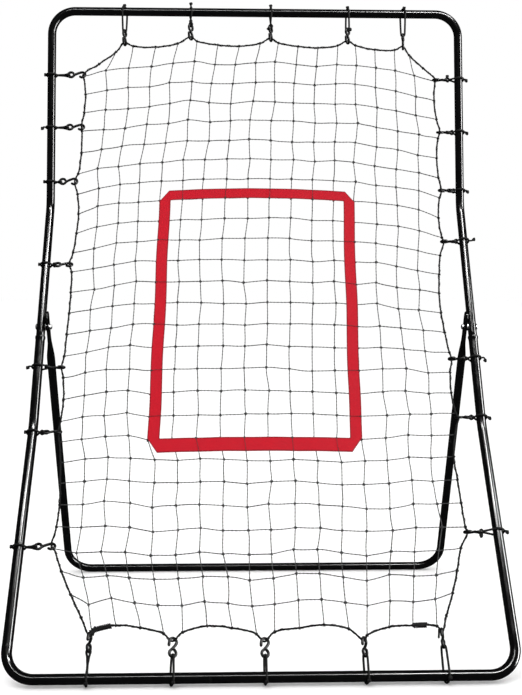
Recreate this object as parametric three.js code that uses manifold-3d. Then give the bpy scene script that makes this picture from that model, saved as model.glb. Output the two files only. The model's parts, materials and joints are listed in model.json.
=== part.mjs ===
// A free-standing pitching target net. A bent steel tube frame leans back from the thrower, a net with
// a red strike-zone band is stretched inside it by elastic loops and wire hooks, and a U-shaped rear
// stand is hinged to the frame's sides.
// Millimetres. +X is to the thrower's right, +Y is away from the thrower, +Z is up. The origin is on the
// floor, in the middle of the footprint.

import * as THREE from 'three';
import { mergeVertices } from 'three/addons/utils/BufferGeometryUtils.js';
import Module from 'manifold-3d';

const wasm = await Module();
wasm.setup();

const radians = THREE.MathUtils.degToRad;

// Side profile of the frame: three straight runs of tube from the bottom bar up, each with its lean
// from upright. A place on the frame or the net is given by x and by s, the length along this profile.
const RUNS = [
  { length: 492, lean: radians(38.2) },
  { length: 503, lean: radians(28.1) },
  { length: 430, lean: radians(8.7) },
];
const PROFILE_LENGTH = RUNS.reduce((sum, run) => sum + run.length, 0);
const BEND_REACH = 14;

// Frame tubes
const FRAME_WIDTH = 914;
const LOWER_RADIUS = 9.5;
const LOWER_BORE = 8.8;
const UPPER_RADIUS = 9;
const UPPER_BORE = 7.8;
const INSERT_RADIUS = 8.35;
const SIDE_X = FRAME_WIDTH / 2 - LOWER_RADIUS;
const CORNER_RADIUS = 51;
const JOINT_S = 686;
const INSERT_DEPTH = 45;
const MOUTH_RIM = { radius: 10.5, length: 7 };
const TUBE_SIDES = 12;

// Rear stand: a U of tube with flattened top ends
const PIVOT_S = 707;
const STAND_RADIUS = 8.5;
const STAND_BORE = 7.6;
const STAND_X = 433;
const STAND_LENGTH = 619;
const TAB_ABOVE_PIVOT = 34;
const TAB_HALF_THICKNESS = 2.6;
const TAB_HALF_WIDTH = 12;
const TAB_END = 26;
const ROUND_FROM = 74;
// The tab's rounded tip stops just short of a point.
const BLUNT_TIP = 0.97;
const DRAIN_RADIUS = 2.5;
const DRAIN_X = 330;

// Pivot fasteners
const BOLT_RADIUS = 4;
const BOLT_HOLE_RADIUS = 4.35;
const BOLT_HEAD = { radius: 7, thickness: 4.6 };
const NUT = { acrossFlats: 13, thickness: 6.4 };
const WASHER_RADIUS = 8;
const GAP = 0.3;

// Elastic loops and wire hooks
const CORD_RADIUS = 1.9;
const CORD_CLEARANCE = 0.35;
const CORD_SIDES = 6;
const LOOP_STATIONS = 9;
const STRAND_SHIFT = 2.3;
const WIRE_RADIUS = 1.7;
const EYE_RADIUS = 5;
const HOOK_RADIUS = 6;
const HOOK_REACH = 27.25;
const ROPE_RADIUS = 2.3;
// The least angle between the rope and the plane of the hook that holds it
const ROPE_TO_HOOK = radians(54);

// Net, with its border rope, and the strike-zone band
const NET_INSET = 10;
const NET_THICKNESS = 2;
// How deep the border curves in between two hooks, as a share of their distance
const SCALLOPS = { side: 0.05, top: 0.09, bottom: 0.17, corner: 0 };
const HOOK_FLAT = 6;
const BAND = { left: -211, right: 210, bottom: 435, top: 1029, sideways: 20, upwards: 24 };
const BAND_WIDTHS = { side: 22, bottom: 28, top: 22 };
const BAND_LEAN = 5;
const BAND_THICKNESS = 1.2;
const BAND_GAP = 0.4;

// Where each hook holds the border rope: x, s, and the degrees that the hook is turned about its shank,
// out of the net's plane. Side hooks are listed from the top down, the others from left to right.
const LEFT_HOOKS = [
  [-380, 1282, 26],
  [-382, 1166, 30],
  [-396, 1046, 24],
  [-398, 850, 38],
  [-400, 618, 82],
  [-397, 478, 50],
  [-387, 240, 28],
];
const RIGHT_HOOKS = [
  [397, 1278, 84],
  [405, 1160, 72],
  [407, 1030, 66],
  [405, 909, 78],
  [399, 636, 86],
  [401, 508, 70],
  [390, 265, 80],
];
const TOP_HOOKS = [
  [-289, 1356, 74],
  [-144, 1370, 60],
  [32, 1368, 68],
  [202, 1364, 56],
  [325, 1352, 80],
];
const BOTTOM_HOOKS = [
  [-305, 74, 76],
  [-158, 64, 30],
  [4, 62, 26],
  [180, 62, 58],
  [320, 76, 72],
];

// ---------------------------------------------------------------- profile

// Point and unit direction of the sharp side profile at length s, in the YZ plane.
function sharpProfile(s) {
  let start = new THREE.Vector2(0, 0);
  let left = s;
  for (const [index, run] of RUNS.entries()) {
    const direction = new THREE.Vector2(Math.sin(run.lean), Math.cos(run.lean));
    if (left <= run.length || index === RUNS.length - 1) {
      return { point: start.addScaledVector(direction, left), direction };
    }
    start = start.clone().addScaledVector(direction, run.length);
    left -= run.length;
  }
}

const BENDS = [RUNS[0].length, RUNS[0].length + RUNS[1].length];

// The same with each bend rounded by a parabola that touches both runs.
function profile(s) {
  const bend = BENDS.find((b) => Math.abs(s - b) < BEND_REACH);
  if (bend === undefined) return sharpProfile(s);
  const before = sharpProfile(bend - BEND_REACH);
  const corner = sharpProfile(bend).point;
  const after = sharpProfile(bend + BEND_REACH);
  const t = (s - bend + BEND_REACH) / (2 * BEND_REACH);
  const curve = new THREE.QuadraticBezierCurve(before.point, corner, after.point);
  return { point: curve.getPoint(t), direction: curve.getTangent(t) };
}

// A flat place (x, s), raised by `lift` towards the thrower, in space.
function onFrame(x, s, lift = 0) {
  const { point, direction } = profile(s);
  return new THREE.Vector3(x, point.x - direction.y * lift, point.y + direction.x * lift);
}

// Lengths at which a straight strip between two heights is bent.
function bendStations(from, to) {
  const stations = BENDS.flatMap((b) => [b - BEND_REACH, b, b + BEND_REACH]);
  return [from, ...stations.filter((s) => s > from && s < to), to];
}

// ---------------------------------------------------------------- solids

// A route whose parameter counts its stations, so that each station becomes one ring of a sweep.
class StationPath extends THREE.Curve {
  constructor(stations, closed = false) {
    super();
    this.stations = stations;
    this.closed = closed;
  }

  at(index) {
    const count = this.stations.length;
    if (this.closed) return this.stations[(index + count) % count];
    return this.stations[THREE.MathUtils.clamp(index, 0, count - 1)];
  }

  indexOf(t) {
    return Math.round(t * (this.stations.length - (this.closed ? 0 : 1)));
  }

  getPoint(t, target = new THREE.Vector3()) {
    return target.copy(this.at(this.indexOf(t)));
  }

  getPointAt(u, target) {
    return this.getPoint(u, target);
  }

  getTangent(t, target = new THREE.Vector3()) {
    const index = this.indexOf(t);
    const incoming = this.at(index).clone().sub(this.at(index - 1)).normalize();
    const outgoing = this.at(index + 1).clone().sub(this.at(index)).normalize();
    return target.copy(incoming).add(outgoing).normalize();
  }

  getTangentAt(u, target) {
    return this.getTangent(u, target);
  }
}

function polygon(radius, sides, turn = 0) {
  const corners = Array.from({ length: sides }, (_, i) => {
    const angle = turn + (2 * Math.PI * i) / sides;
    return new THREE.Vector2(radius * Math.cos(angle), radius * Math.sin(angle));
  });
  return new THREE.Shape(corners);
}

function sweep(stations, radius, sides, turn = 0) {
  return new THREE.ExtrudeGeometry(polygon(radius, sides, turn), {
    steps: stations.length - 1,
    extrudePath: new StationPath(stations),
  });
}

function ring(stations, radius, sides) {
  return new THREE.TubeGeometry(new StationPath(stations, true), stations.length, radius, sides, true);
}

function toSolid(geometry) {
  const bare = geometry.clone();
  bare.deleteAttribute('normal');
  bare.deleteAttribute('uv');
  const merged = mergeVertices(bare, 1e-3);
  return new wasm.Manifold(
    new wasm.Mesh({
      numProp: 3,
      vertProperties: merged.attributes.position.array,
      triVerts: Uint32Array.from(merged.index.array),
    }),
  );
}

function toGeometry(solid) {
  const mesh = solid.getMesh();
  const geometry = new THREE.BufferGeometry();
  geometry.setAttribute('position', new THREE.BufferAttribute(mesh.vertProperties, 3));
  geometry.setIndex(new THREE.BufferAttribute(mesh.triVerts, 1));
  geometry.computeVertexNormals();
  return geometry;
}

// A cylinder between two points.
function rod(from, to, radius, sides) {
  const axis = to.clone().sub(from);
  const geometry = new THREE.CylinderGeometry(radius, radius, axis.length(), sides);
  const turn = new THREE.Quaternion().setFromUnitVectors(new THREE.Vector3(0, 1, 0), axis.normalize());
  geometry.applyQuaternion(turn);
  const middle = from.clone().add(to).multiplyScalar(0.5);
  return geometry.translate(middle.x, middle.y, middle.z);
}

// ---------------------------------------------------------------- frame tubes

// Half of a U of tube as flat (x, s) places on its left side, from the open end to the crossbar's middle.
// `heights` are the stations on the straight side, `bar` is the crossbar's s.
function halfU(sideX, heights, bar, cornerSteps) {
  const towardsBar = Math.sign(bar - heights[0]);
  const centre = { x: -sideX + CORNER_RADIUS, s: bar - towardsBar * CORNER_RADIUS };
  const corner = Array.from({ length: cornerSteps + 1 }, (_, i) => {
    const angle = (Math.PI / 2) * (i / cornerSteps);
    return [
      centre.x - CORNER_RADIUS * Math.cos(angle),
      centre.s + towardsBar * CORNER_RADIUS * Math.sin(angle),
    ];
  });
  return [...heights.map((s) => [-sideX, s]), ...corner];
}

function fullU(half, place) {
  const mirrored = half.map(([x, s]) => [-x, s]).reverse();
  return [...half, ...mirrored].map(([x, s]) => place(x, s));
}

const CORNER_STEPS = 5;

function upperRoute(from) {
  const sides = bendStations(from, PROFILE_LENGTH - CORNER_RADIUS).slice(0, -1);
  return fullU(halfU(SIDE_X, sides, PROFILE_LENGTH, CORNER_STEPS), (x, s) => onFrame(x, s));
}

function lowerRoute(from) {
  const sides = bendStations(CORNER_RADIUS, from).slice(1).reverse();
  return fullU(halfU(SIDE_X, sides, 0, CORNER_STEPS), (x, s) => onFrame(x, s));
}

function pivotHole(side) {
  const centre = onFrame(side * SIDE_X, PIVOT_S);
  const reach = new THREE.Vector3(2 * UPPER_RADIUS, 0, 0);
  return rod(centre.clone().sub(reach), centre.clone().add(reach), BOLT_HOLE_RADIUS, TUBE_SIDES);
}

function upperFrame() {
  const shoulder = JOINT_S + 1.5;
  const insertEnd = JOINT_S - INSERT_DEPTH;
  const body = toSolid(sweep(upperRoute(shoulder), UPPER_RADIUS, TUBE_SIDES));
  const insert = toSolid(sweep(upperRoute(insertEnd), INSERT_RADIUS, TUBE_SIDES));
  const bore = toSolid(sweep(upperRoute(insertEnd - 5), UPPER_BORE, TUBE_SIDES));
  let solid = body.add(insert).subtract(bore);
  for (const side of [-1, 1]) solid = solid.subtract(toSolid(pivotHole(side)));
  return toGeometry(solid);
}

function lowerFrame() {
  let outer = toSolid(sweep(lowerRoute(JOINT_S), LOWER_RADIUS, TUBE_SIDES));
  for (const side of [-1, 1]) {
    const rimFoot = onFrame(side * SIDE_X, JOINT_S - MOUTH_RIM.length);
    const rimTop = onFrame(side * SIDE_X, JOINT_S);
    outer = outer.add(toSolid(rod(rimFoot, rimTop, MOUTH_RIM.radius, TUBE_SIDES)));
  }
  const bore = toSolid(sweep(lowerRoute(JOINT_S + 5), LOWER_BORE, TUBE_SIDES));
  return toGeometry(outer.subtract(bore));
}

// ---------------------------------------------------------------- rear stand

const PIVOT = onFrame(0, PIVOT_S);

// The bottom bar rests on the elastic loops under it, and the stand's foot bar on the floor itself, both
// measured from the bottom bar's axis.
const FLOOR = -(LOWER_RADIUS + CORD_CLEARANCE + 2 * CORD_RADIUS);
const FOOT_AXIS = FLOOR + STAND_RADIUS * Math.cos(Math.PI / TUBE_SIDES);
const STAND_LEAN = Math.acos((PIVOT.z - FOOT_AXIS) / STAND_LENGTH);
const STAND_DOWN = new THREE.Vector3(0, Math.sin(STAND_LEAN), -Math.cos(STAND_LEAN));
const STAND_BACK = new THREE.Vector3(0, Math.cos(STAND_LEAN), Math.sin(STAND_LEAN));

function onStand(x, along) {
  return new THREE.Vector3(x, PIVOT.y, PIVOT.z).addScaledVector(STAND_DOWN, along);
}

// Squashes the round tube ends into flat tabs with rounded tips.
function flattenEnds(geometry) {
  const position = geometry.attributes.position;
  const vertex = new THREE.Vector3();
  for (let i = 0; i < position.count; i += 1) {
    vertex.fromBufferAttribute(position, i);
    const fromPivot = vertex.clone().sub(onStand(vertex.x, 0));
    const along = fromPivot.dot(STAND_DOWN);
    if (along > ROUND_FROM) continue;
    const across = fromPivot.dot(STAND_BACK);
    const flat = 1 - THREE.MathUtils.smoothstep(along, TAB_END, ROUND_FROM);
    const pastStraight = (-along - TAB_ABOVE_PIVOT + TAB_HALF_WIDTH) / TAB_HALF_WIDTH;
    const tip = THREE.MathUtils.clamp(pastStraight, 0, BLUNT_TIP);
    const widen = THREE.MathUtils.lerp(1, TAB_HALF_WIDTH / STAND_RADIUS, flat) * Math.sqrt(1 - tip * tip);
    const thin = THREE.MathUtils.lerp(1, TAB_HALF_THICKNESS / STAND_RADIUS, flat);
    const legX = Math.sign(vertex.x) * STAND_X;
    vertex.copy(onStand(legX + (vertex.x - legX) * thin, along));
    vertex.addScaledVector(STAND_BACK, across * widen);
    position.setXYZ(i, vertex.x, vertex.y, vertex.z);
  }
  return geometry;
}

function rearStand() {
  const tipStations = [0, 2, 5, TAB_HALF_WIDTH].map((d) => d - TAB_ABOVE_PIVOT);
  const neckStations = [0, 0.3, 0.5, 0.7, 1].map((f) => THREE.MathUtils.lerp(TAB_END, ROUND_FROM, f));
  const heights = [...tipStations, ...neckStations];
  // One flat side of the tube's section faces the floor.
  const turn = Math.PI / TUBE_SIDES - STAND_LEAN;
  const route = (stations) => fullU(halfU(STAND_X, stations, STAND_LENGTH, CORNER_STEPS), onStand);
  const outer = flattenEnds(sweep(route(heights), STAND_RADIUS, TUBE_SIDES, turn));
  let solid = toSolid(outer).subtract(toSolid(sweep(route([ROUND_FROM + 4]), STAND_BORE, TUBE_SIDES, turn)));
  for (const side of [-1, 1]) {
    const pivot = onStand(side * STAND_X, 0);
    const reach = new THREE.Vector3(2 * TAB_HALF_THICKNESS, 0, 0);
    const hole = rod(pivot.clone().sub(reach), pivot.clone().add(reach), BOLT_HOLE_RADIUS, TUBE_SIDES);
    const foot = onStand(side * DRAIN_X, STAND_LENGTH);
    const below = foot.clone().add(new THREE.Vector3(0, 0, -2 * STAND_RADIUS));
    solid = solid.subtract(toSolid(hole)).subtract(toSolid(rod(below, foot, DRAIN_RADIUS, TUBE_SIDES)));
  }
  return toGeometry(solid);
}

// ---------------------------------------------------------------- pivot fasteners

// Turned about the pivot axis; `from` and `to` are distances from the middle of the object.
function onPivot(side, from, to, radius, sides) {
  const start = new THREE.Vector3(side * from, PIVOT.y, PIVOT.z);
  const end = new THREE.Vector3(side * to, PIVOT.y, PIVOT.z);
  return rod(start, end, radius, sides);
}

const TUBE_OUTSIDE = SIDE_X + UPPER_RADIUS;
const TUBE_INSIDE = SIDE_X - UPPER_RADIUS;
const TAB_OUTSIDE = STAND_X + TAB_HALF_THICKNESS;
const TAB_INSIDE = STAND_X - TAB_HALF_THICKNESS;

function pivotBolt(side) {
  const headFoot = TUBE_OUTSIDE + GAP;
  const head = onPivot(side, headFoot, headFoot + BOLT_HEAD.thickness, BOLT_HEAD.radius, 16);
  const shankEnd = TAB_INSIDE - GAP - NUT.thickness - 2;
  const shank = onPivot(side, shankEnd, headFoot + 1, BOLT_RADIUS, 12);
  return toGeometry(toSolid(head).add(toSolid(shank)));
}

function holed(geometry, side) {
  const hole = onPivot(side, TAB_INSIDE - 20, TUBE_OUTSIDE + 20, BOLT_HOLE_RADIUS, 12);
  return toGeometry(toSolid(geometry).subtract(toSolid(hole)));
}

function pivotWasher(side) {
  return holed(onPivot(side, TAB_OUTSIDE + GAP, TUBE_INSIDE - GAP, WASHER_RADIUS, 16), side);
}

function pivotNut(side) {
  const face = TAB_INSIDE - GAP;
  const cornerRadius = NUT.acrossFlats / 2 / Math.cos(Math.PI / 6);
  return holed(onPivot(side, face - NUT.thickness, face, cornerRadius, 6), side);
}

// ---------------------------------------------------------------- loops and hooks

// A hang point has its anchor on a tube's axis, and three directions: inward from the tube to its place
// on the border rope, along the tube, and out of the net towards the back.
function hangPoint(name, place, anchorPlace) {
  const anchor = onFrame(...anchorPlace);
  const [x, s, turn] = place;
  const inward = onFrame(x, s).sub(anchor);
  const reach = inward.length();
  const { direction } = profile(anchorPlace[1]);
  const up = new THREE.Vector3(0, direction.x, direction.y);
  const across = new THREE.Vector3(1, 0, 0);
  return {
    name,
    anchor,
    inward: inward.normalize(),
    along: Math.abs(anchorPlace[0]) === SIDE_X ? up : across,
    out: new THREE.Vector3().crossVectors(up, across),
    tubeRadius: anchorPlace[1] > JOINT_S ? UPPER_RADIUS : LOWER_RADIUS,
    eyeWire: reach - HOOK_REACH,
    turn: radians(turn),
  };
}

function hangPoints() {
  const edges = [
    ['left', LEFT_HOOKS, (place) => [-SIDE_X, place[1]]],
    ['right', RIGHT_HOOKS, (place) => [SIDE_X, place[1]]],
    ['top', TOP_HOOKS, (place) => [place[0], PROFILE_LENGTH]],
    ['bottom', BOTTOM_HOOKS, (place) => [place[0], 0]],
  ];
  return edges.flatMap(([edge, hooks, anchorOf]) =>
    hooks.map((place, i) => hangPoint(`${edge}_${i + 1}`, place, anchorOf(place))),
  );
}

function local(point, inward, along, out) {
  return point.anchor
    .clone()
    .addScaledVector(point.inward, inward)
    .addScaledVector(point.along, along)
    .addScaledVector(point.out, out);
}

// The elastic cord runs like a belt round the tube and round the near side of the hook's eye, with its
// front and back strands shifted apart along the tube.
function elasticLoop(point) {
  const big = point.tubeRadius + CORD_CLEARANCE + CORD_RADIUS;
  const small = WIRE_RADIUS + CORD_CLEARANCE + CORD_RADIUS;
  const touch = Math.acos((big - small) / point.eyeWire);
  const arc = (centre, radius, from, to, count) => {
    const step = (to - from) / (count - 1);
    const outset = radius / Math.cos(step / 2);
    return Array.from({ length: count }, (_, i) => {
      const angle = from + step * i;
      const shift = -STRAND_SHIFT * Math.sin(angle);
      return local(point, centre + outset * Math.cos(angle), shift, outset * Math.sin(angle));
    });
  };
  const roundTube = arc(0, big, touch, 2 * Math.PI - touch, LOOP_STATIONS);
  const roundEye = arc(point.eyeWire, small, -touch, touch, 4);
  return ring([...roundTube, ...roundEye], CORD_RADIUS, CORD_SIDES);
}

// One bent wire: a round eye that holds the elastic, a shank, and a hook, turned about the shank, that
// holds the border rope.
function wireHook(point) {
  const eyeCentre = point.eyeWire + EYE_RADIUS;
  const eye = Array.from({ length: 7 }, (_, i) => {
    const angle = radians(45 + 45 * i);
    const inward = eyeCentre + EYE_RADIUS * Math.cos(angle);
    return local(point, inward, EYE_RADIUS * Math.sin(angle), 0);
  });
  const place = (inward, across) =>
    local(point, inward, across * Math.cos(point.turn), across * Math.sin(point.turn));
  const hookTop = point.eyeWire + HOOK_REACH + ROPE_RADIUS + CORD_CLEARANCE + WIRE_RADIUS;
  const hookCentre = hookTop - HOOK_RADIUS;
  const curl = [90, 45, 0, -45, -90].map((degrees) => {
    const angle = radians(degrees);
    return place(hookCentre + HOOK_RADIUS * Math.cos(angle), HOOK_RADIUS * Math.sin(angle));
  });
  const shank = local(point, eyeCentre + EYE_RADIUS + 2.5, 0, 0);
  const tip = place(hookCentre - 6, -HOOK_RADIUS - 0.6);
  return sweep([...eye, shank, ...curl, tip], WIRE_RADIUS, CORD_SIDES);
}

// ---------------------------------------------------------------- net, border rope, band

// The border as flat places with their lift, clockwise from the lowest left hook. It lies straight
// through each hook, slanting from back to front where the hook is nearly in the net's plane, and curves
// in towards the net between hooks.
function borderPlaces() {
  const stopsOn = (hooks, edge, along) => hooks.map((place) => ({ place, edge, along }));
  const stops = [
    ...stopsOn(LEFT_HOOKS.toReversed(), 'side', [0, 1]),
    ...stopsOn(TOP_HOOKS, 'top', [1, 0]),
    ...stopsOn(RIGHT_HOOKS, 'side', [0, -1]),
    ...stopsOn(BOTTOM_HOOKS.toReversed(), 'bottom', [-1, 0]),
  ];
  const beside = ({ place, along }, distance) => {
    const [x, s, turn] = place;
    const slant = Math.max(0, ROPE_TO_HOOK - radians(turn));
    const forward = Math.sign(along[0] + along[1]);
    const lift = Math.tan(slant) * distance * forward;
    return [x + along[0] * distance, s + along[1] * distance, lift];
  };
  const places = [];
  stops.forEach((stop, i) => {
    const next = stops[(i + 1) % stops.length];
    const leave = beside(stop, HOOK_FLAT);
    const arrive = beside(next, -HOOK_FLAT);
    const chord = [arrive[0] - leave[0], arrive[1] - leave[1]];
    const depth = SCALLOPS[stop.edge === next.edge ? stop.edge : 'corner'];
    places.push(leave);
    for (const f of [0.22, 0.5, 0.78]) {
      const sag = 4 * f * (1 - f) * depth;
      places.push([leave[0] + chord[0] * f + chord[1] * sag, leave[1] + chord[1] * f - chord[0] * sag, 0]);
    }
    places.push(arrive);
  });
  return places;
}

// The outline moved inward by `inset`, one place for each place of the border.
function insetPlaces(places, inset) {
  return places.map((here, i) => {
    const before = places[(i + places.length - 1) % places.length];
    const after = places[(i + 1) % places.length];
    const run = new THREE.Vector2(after[0] - before[0], after[1] - before[1]).normalize();
    return [here[0] + run.y * inset, here[1] - run.x * inset];
  });
}

// A bent sheet that follows the profile, between two lifts off it, across the whole width.
function bentSlab(lowLift, highLift) {
  const heights = bendStations(20, PROFILE_LENGTH - 20);
  const face = (lift) => heights.map((s) => onFrame(0, s, lift));
  const corners = [...face(lowLift), ...face(highLift).reverse()].map((p) => new THREE.Vector2(p.y, p.z));
  const geometry = new THREE.ExtrudeGeometry(new THREE.Shape(corners), {
    depth: FRAME_WIDTH,
    bevelEnabled: false,
  });
  const axes = new THREE.Matrix4().makeBasis(
    new THREE.Vector3(0, 1, 0),
    new THREE.Vector3(0, 0, 1),
    new THREE.Vector3(1, 0, 0),
  );
  return geometry.applyMatrix4(axes).translate(-FRAME_WIDTH / 2, 0, 0);
}

// A block right through the frame from front to back, with an outline given as flat places.
function outlineBlock(places, holes = []) {
  const flat = (list) => list.map(([x, s]) => new THREE.Vector2(x, onFrame(0, s).z));
  const shape = new THREE.Shape(flat(places));
  for (const hole of holes) shape.holes.push(new THREE.Path(flat(hole)));
  const depth = 2 * PROFILE_LENGTH;
  const geometry = new THREE.ExtrudeGeometry(shape, { depth, bevelEnabled: false });
  const axes = new THREE.Matrix4().makeBasis(
    new THREE.Vector3(1, 0, 0),
    new THREE.Vector3(0, 0, 1),
    new THREE.Vector3(0, -1, 0),
  );
  return geometry.applyMatrix4(axes).translate(0, depth / 2, 0);
}

function netPanel() {
  const outline = insetPlaces(borderPlaces(), NET_INSET);
  const slab = toSolid(bentSlab(-NET_THICKNESS / 2, NET_THICKNESS / 2));
  return toGeometry(slab.intersect(toSolid(outlineBlock(outline))));
}

function borderRope() {
  const stations = borderPlaces().map((place) => onFrame(...place));
  return ring(stations, ROPE_RADIUS, CORD_SIDES);
}

function strikeZoneBand() {
  const { left, right, bottom, top, sideways, upwards } = BAND;
  const { side, bottom: low, top: high } = BAND_WIDTHS;
  // The band's top stands a little further right than its bottom.
  const lean = ([x, s]) => [x + (BAND_LEAN * (2 * s - top - bottom)) / (top - bottom), s];
  const outer = [
    [left + sideways, bottom],
    [right - sideways, bottom],
    [right, bottom + upwards],
    [right, top - upwards],
    [right - sideways, top],
    [left + sideways, top],
    [left, top - upwards],
    [left, bottom + upwards],
  ].map(lean);
  const inner = [
    [left + side, bottom + low],
    [left + side, top - high],
    [right - side, top - high],
    [right - side, bottom + low],
  ].map(lean);
  const lift = NET_THICKNESS / 2 + BAND_GAP;
  const slab = toSolid(bentSlab(lift, lift + BAND_THICKNESS));
  return toGeometry(slab.intersect(toSolid(outlineBlock(outer, [inner]))));
}

// ---------------------------------------------------------------- assembly

const blackPaint = new THREE.MeshStandardMaterial({ color: 0x0b0b0c, roughness: 0.22, metalness: 0.1 });
const zinc = new THREE.MeshStandardMaterial({ color: 0xb4b6b8, roughness: 0.35, metalness: 1 });
const hookSteel = new THREE.MeshStandardMaterial({ color: 0x101011, roughness: 0.3, metalness: 0.3 });
const elastic = new THREE.MeshStandardMaterial({ color: 0x121213, roughness: 0.85, metalness: 0 });
const ropeFibre = new THREE.MeshStandardMaterial({ color: 0x171718, roughness: 0.8, metalness: 0 });
const netTwine = new THREE.MeshStandardMaterial({ color: 0x3a3b3d, roughness: 0.8, metalness: 0 });
const redWebbing = new THREE.MeshStandardMaterial({ color: 0xd01c2c, roughness: 0.7, metalness: 0 });

const assembly = new THREE.Group();

function addPart(name, geometry, material) {
  const mesh = new THREE.Mesh(geometry, material);
  mesh.name = name;
  assembly.add(mesh);
}

addPart('upper_frame', upperFrame(), blackPaint);
addPart('lower_frame', lowerFrame(), blackPaint);
addPart('rear_stand', rearStand(), blackPaint);

for (const [label, side] of [['left', -1], ['right', 1]]) {
  addPart(`pivot_bolt_${label}`, pivotBolt(side), zinc);
  addPart(`pivot_washer_${label}`, pivotWasher(side), zinc);
  addPart(`pivot_nut_${label}`, pivotNut(side), zinc);
}

for (const point of hangPoints()) {
  addPart(`elastic_loop_${point.name}`, elasticLoop(point), elastic);
  addPart(`wire_hook_${point.name}`, wireHook(point), hookSteel);
}

addPart('border_rope', borderRope(), ropeFibre);
addPart('net', netPanel(), netTwine);
addPart('strike_zone_band', strikeZoneBand(), redWebbing);

// Set the assembly down on the floor, with the origin in the middle of its footprint.
const bounds = new THREE.Box3().setFromObject(assembly, true);
const middle = bounds.getCenter(new THREE.Vector3());
assembly.position.set(0, -middle.y, -bounds.min.z);

export default assembly;
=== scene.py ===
# The looks of a free-standing pitching target net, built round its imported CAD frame.
#
# A place on the leaning frame or net is given flat, as x and s in millimetres: s is the length along
# the frame's side profile, counted up from the axis of the bottom bar. A lift is a height off that
# surface, towards the thrower. Points in space are millimetres too, in the CAD's own frame, and turn
# into metres when a mesh is made.

import json
import math

import bpy
import numpy as np
from mathutils import Matrix, Vector


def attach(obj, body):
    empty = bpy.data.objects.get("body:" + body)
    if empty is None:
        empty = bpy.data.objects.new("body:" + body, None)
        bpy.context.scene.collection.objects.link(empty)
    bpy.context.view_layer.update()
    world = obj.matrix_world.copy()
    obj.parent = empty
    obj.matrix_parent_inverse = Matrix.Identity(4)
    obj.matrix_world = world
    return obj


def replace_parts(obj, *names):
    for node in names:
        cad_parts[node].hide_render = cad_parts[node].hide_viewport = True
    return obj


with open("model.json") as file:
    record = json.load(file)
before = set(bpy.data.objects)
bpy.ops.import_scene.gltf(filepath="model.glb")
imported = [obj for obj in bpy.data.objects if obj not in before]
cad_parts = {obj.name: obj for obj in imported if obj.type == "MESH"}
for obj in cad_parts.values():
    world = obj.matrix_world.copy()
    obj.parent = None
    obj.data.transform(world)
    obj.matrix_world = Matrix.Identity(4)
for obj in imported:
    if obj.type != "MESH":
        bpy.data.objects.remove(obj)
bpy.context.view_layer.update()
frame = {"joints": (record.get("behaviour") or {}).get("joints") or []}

METRES = 0.001
rng = np.random.default_rng(20)

# ---------------------------------------------------------------- sizes, in millimetres

RUNS = [(492, math.radians(38.2)), (503, math.radians(28.1)), (430, math.radians(8.7))]
PROFILE_LENGTH = sum(length for length, _ in RUNS)
TUBE_BEND = 18
NET_BEND = 60

LOWER_RADIUS = 9.5
LOWER_BORE = 8.8
UPPER_RADIUS = 9
UPPER_BORE = 7.8
INSERT_RADIUS = 8.35
INSERT_DEPTH = 45
SIDE_X = 447.5
CORNER_RADIUS = 51
JOINT_S = 686

PIVOT_S = 707
STAND_RADIUS = 8.5
STAND_X = 433
STAND_LENGTH = 619
TAB_ABOVE_PIVOT = 34
TAB_HALF_THICKNESS = 2.6
TAB_HALF_WIDTH = 12
TAB_END = 26
ROUND_FROM = 74
FOOT_AXIS_Z = 8.21

CORD_RADIUS = 1.9
CLEARANCE = 0.35
WIRE_RADIUS = 1.7
HOOK_REACH = 27.25
ROPE_RADIUS = 2.3
ROPE_TO_HOOK = math.radians(54)

# Each hook: where it holds the border rope as x and s, its turn in degrees out of the net's plane, and
# its place along that edge of the net, counted in meshes from the top or from the left.
HOOKS = {
    "left": [
        (-380, 1282, 26, 0.95),
        (-382, 1166, 30, 3.85),
        (-396, 1046, 24, 6.4),
        (-398, 850, 38, 10.65),
        (-400, 618, 82, 15.5),
        (-397, 478, 50, 18.5),
        (-387, 240, 28, 23.9),
    ],
    "right": [
        (397, 1278, 84, 0.9),
        (405, 1160, 72, 3.7),
        (407, 1030, 66, 6.65),
        (405, 909, 78, 9.2),
        (399, 636, 86, 15.3),
        (401, 508, 70, 18.2),
        (390, 265, 80, 23.2),
    ],
    "top": [
        (-289, 1356, 74, 1.6),
        (-144, 1370, 60, 4.65),
        (32, 1368, 68, 8.55),
        (202, 1364, 56, 12.55),
        (325, 1352, 80, 15.45),
    ],
    "bottom": [
        (-305, 74, 76, 0.8),
        (-158, 64, 30, 4.5),
        (4, 62, 26, 8.45),
        (180, 62, 58, 12.75),
        (320, 76, 72, 16.3),
    ],
}

# The net
COLUMNS, ROWS = 18, 28
MESH_WIDTH = 46.7
MESH_HEIGHTS = (43.3, 49.7)
SHORT_ROWS = 8
TWINE_RADIUS = 1.1
KNOT_RADIUS = 3.5

# The strike-zone band, which is drawn up to 6 mm off its CAD solid. BAND_COLUMNS and BAND_ROWS are the
# lines of knots beside its edges. It pulls them back by BAND_PULL, and they sit INSIDE_EDGE within it.
# Twine that crosses in front of it is pulled thin, and twine and band weave by their own amounts.
BAND = {"left": -217, "right": 209.5, "bottom": 432, "top": 1026}
BAND_WIDTH = {"side": 24.5, "top": 22.5, "bottom": 31}
BAND_CUT = {"side": 21, "top": 23, "bottom": 32}
BAND_LEAN = 5
BAND_BOW = {"top": 8, "bottom": 4}
BAND_THICKNESS = 1.1
BAND_WANDER = 0.9
BAND_COLUMNS = (4, 13)
BAND_ROWS = (8, 19)
BAND_PULL = 1.9
WEAVE_CORD = 1.0
TIGHT_OVER_BAND = 0.6
INSIDE_EDGE = 1.5
WEAVE_BAND = 0.5

# ---------------------------------------------------------------- places

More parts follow.
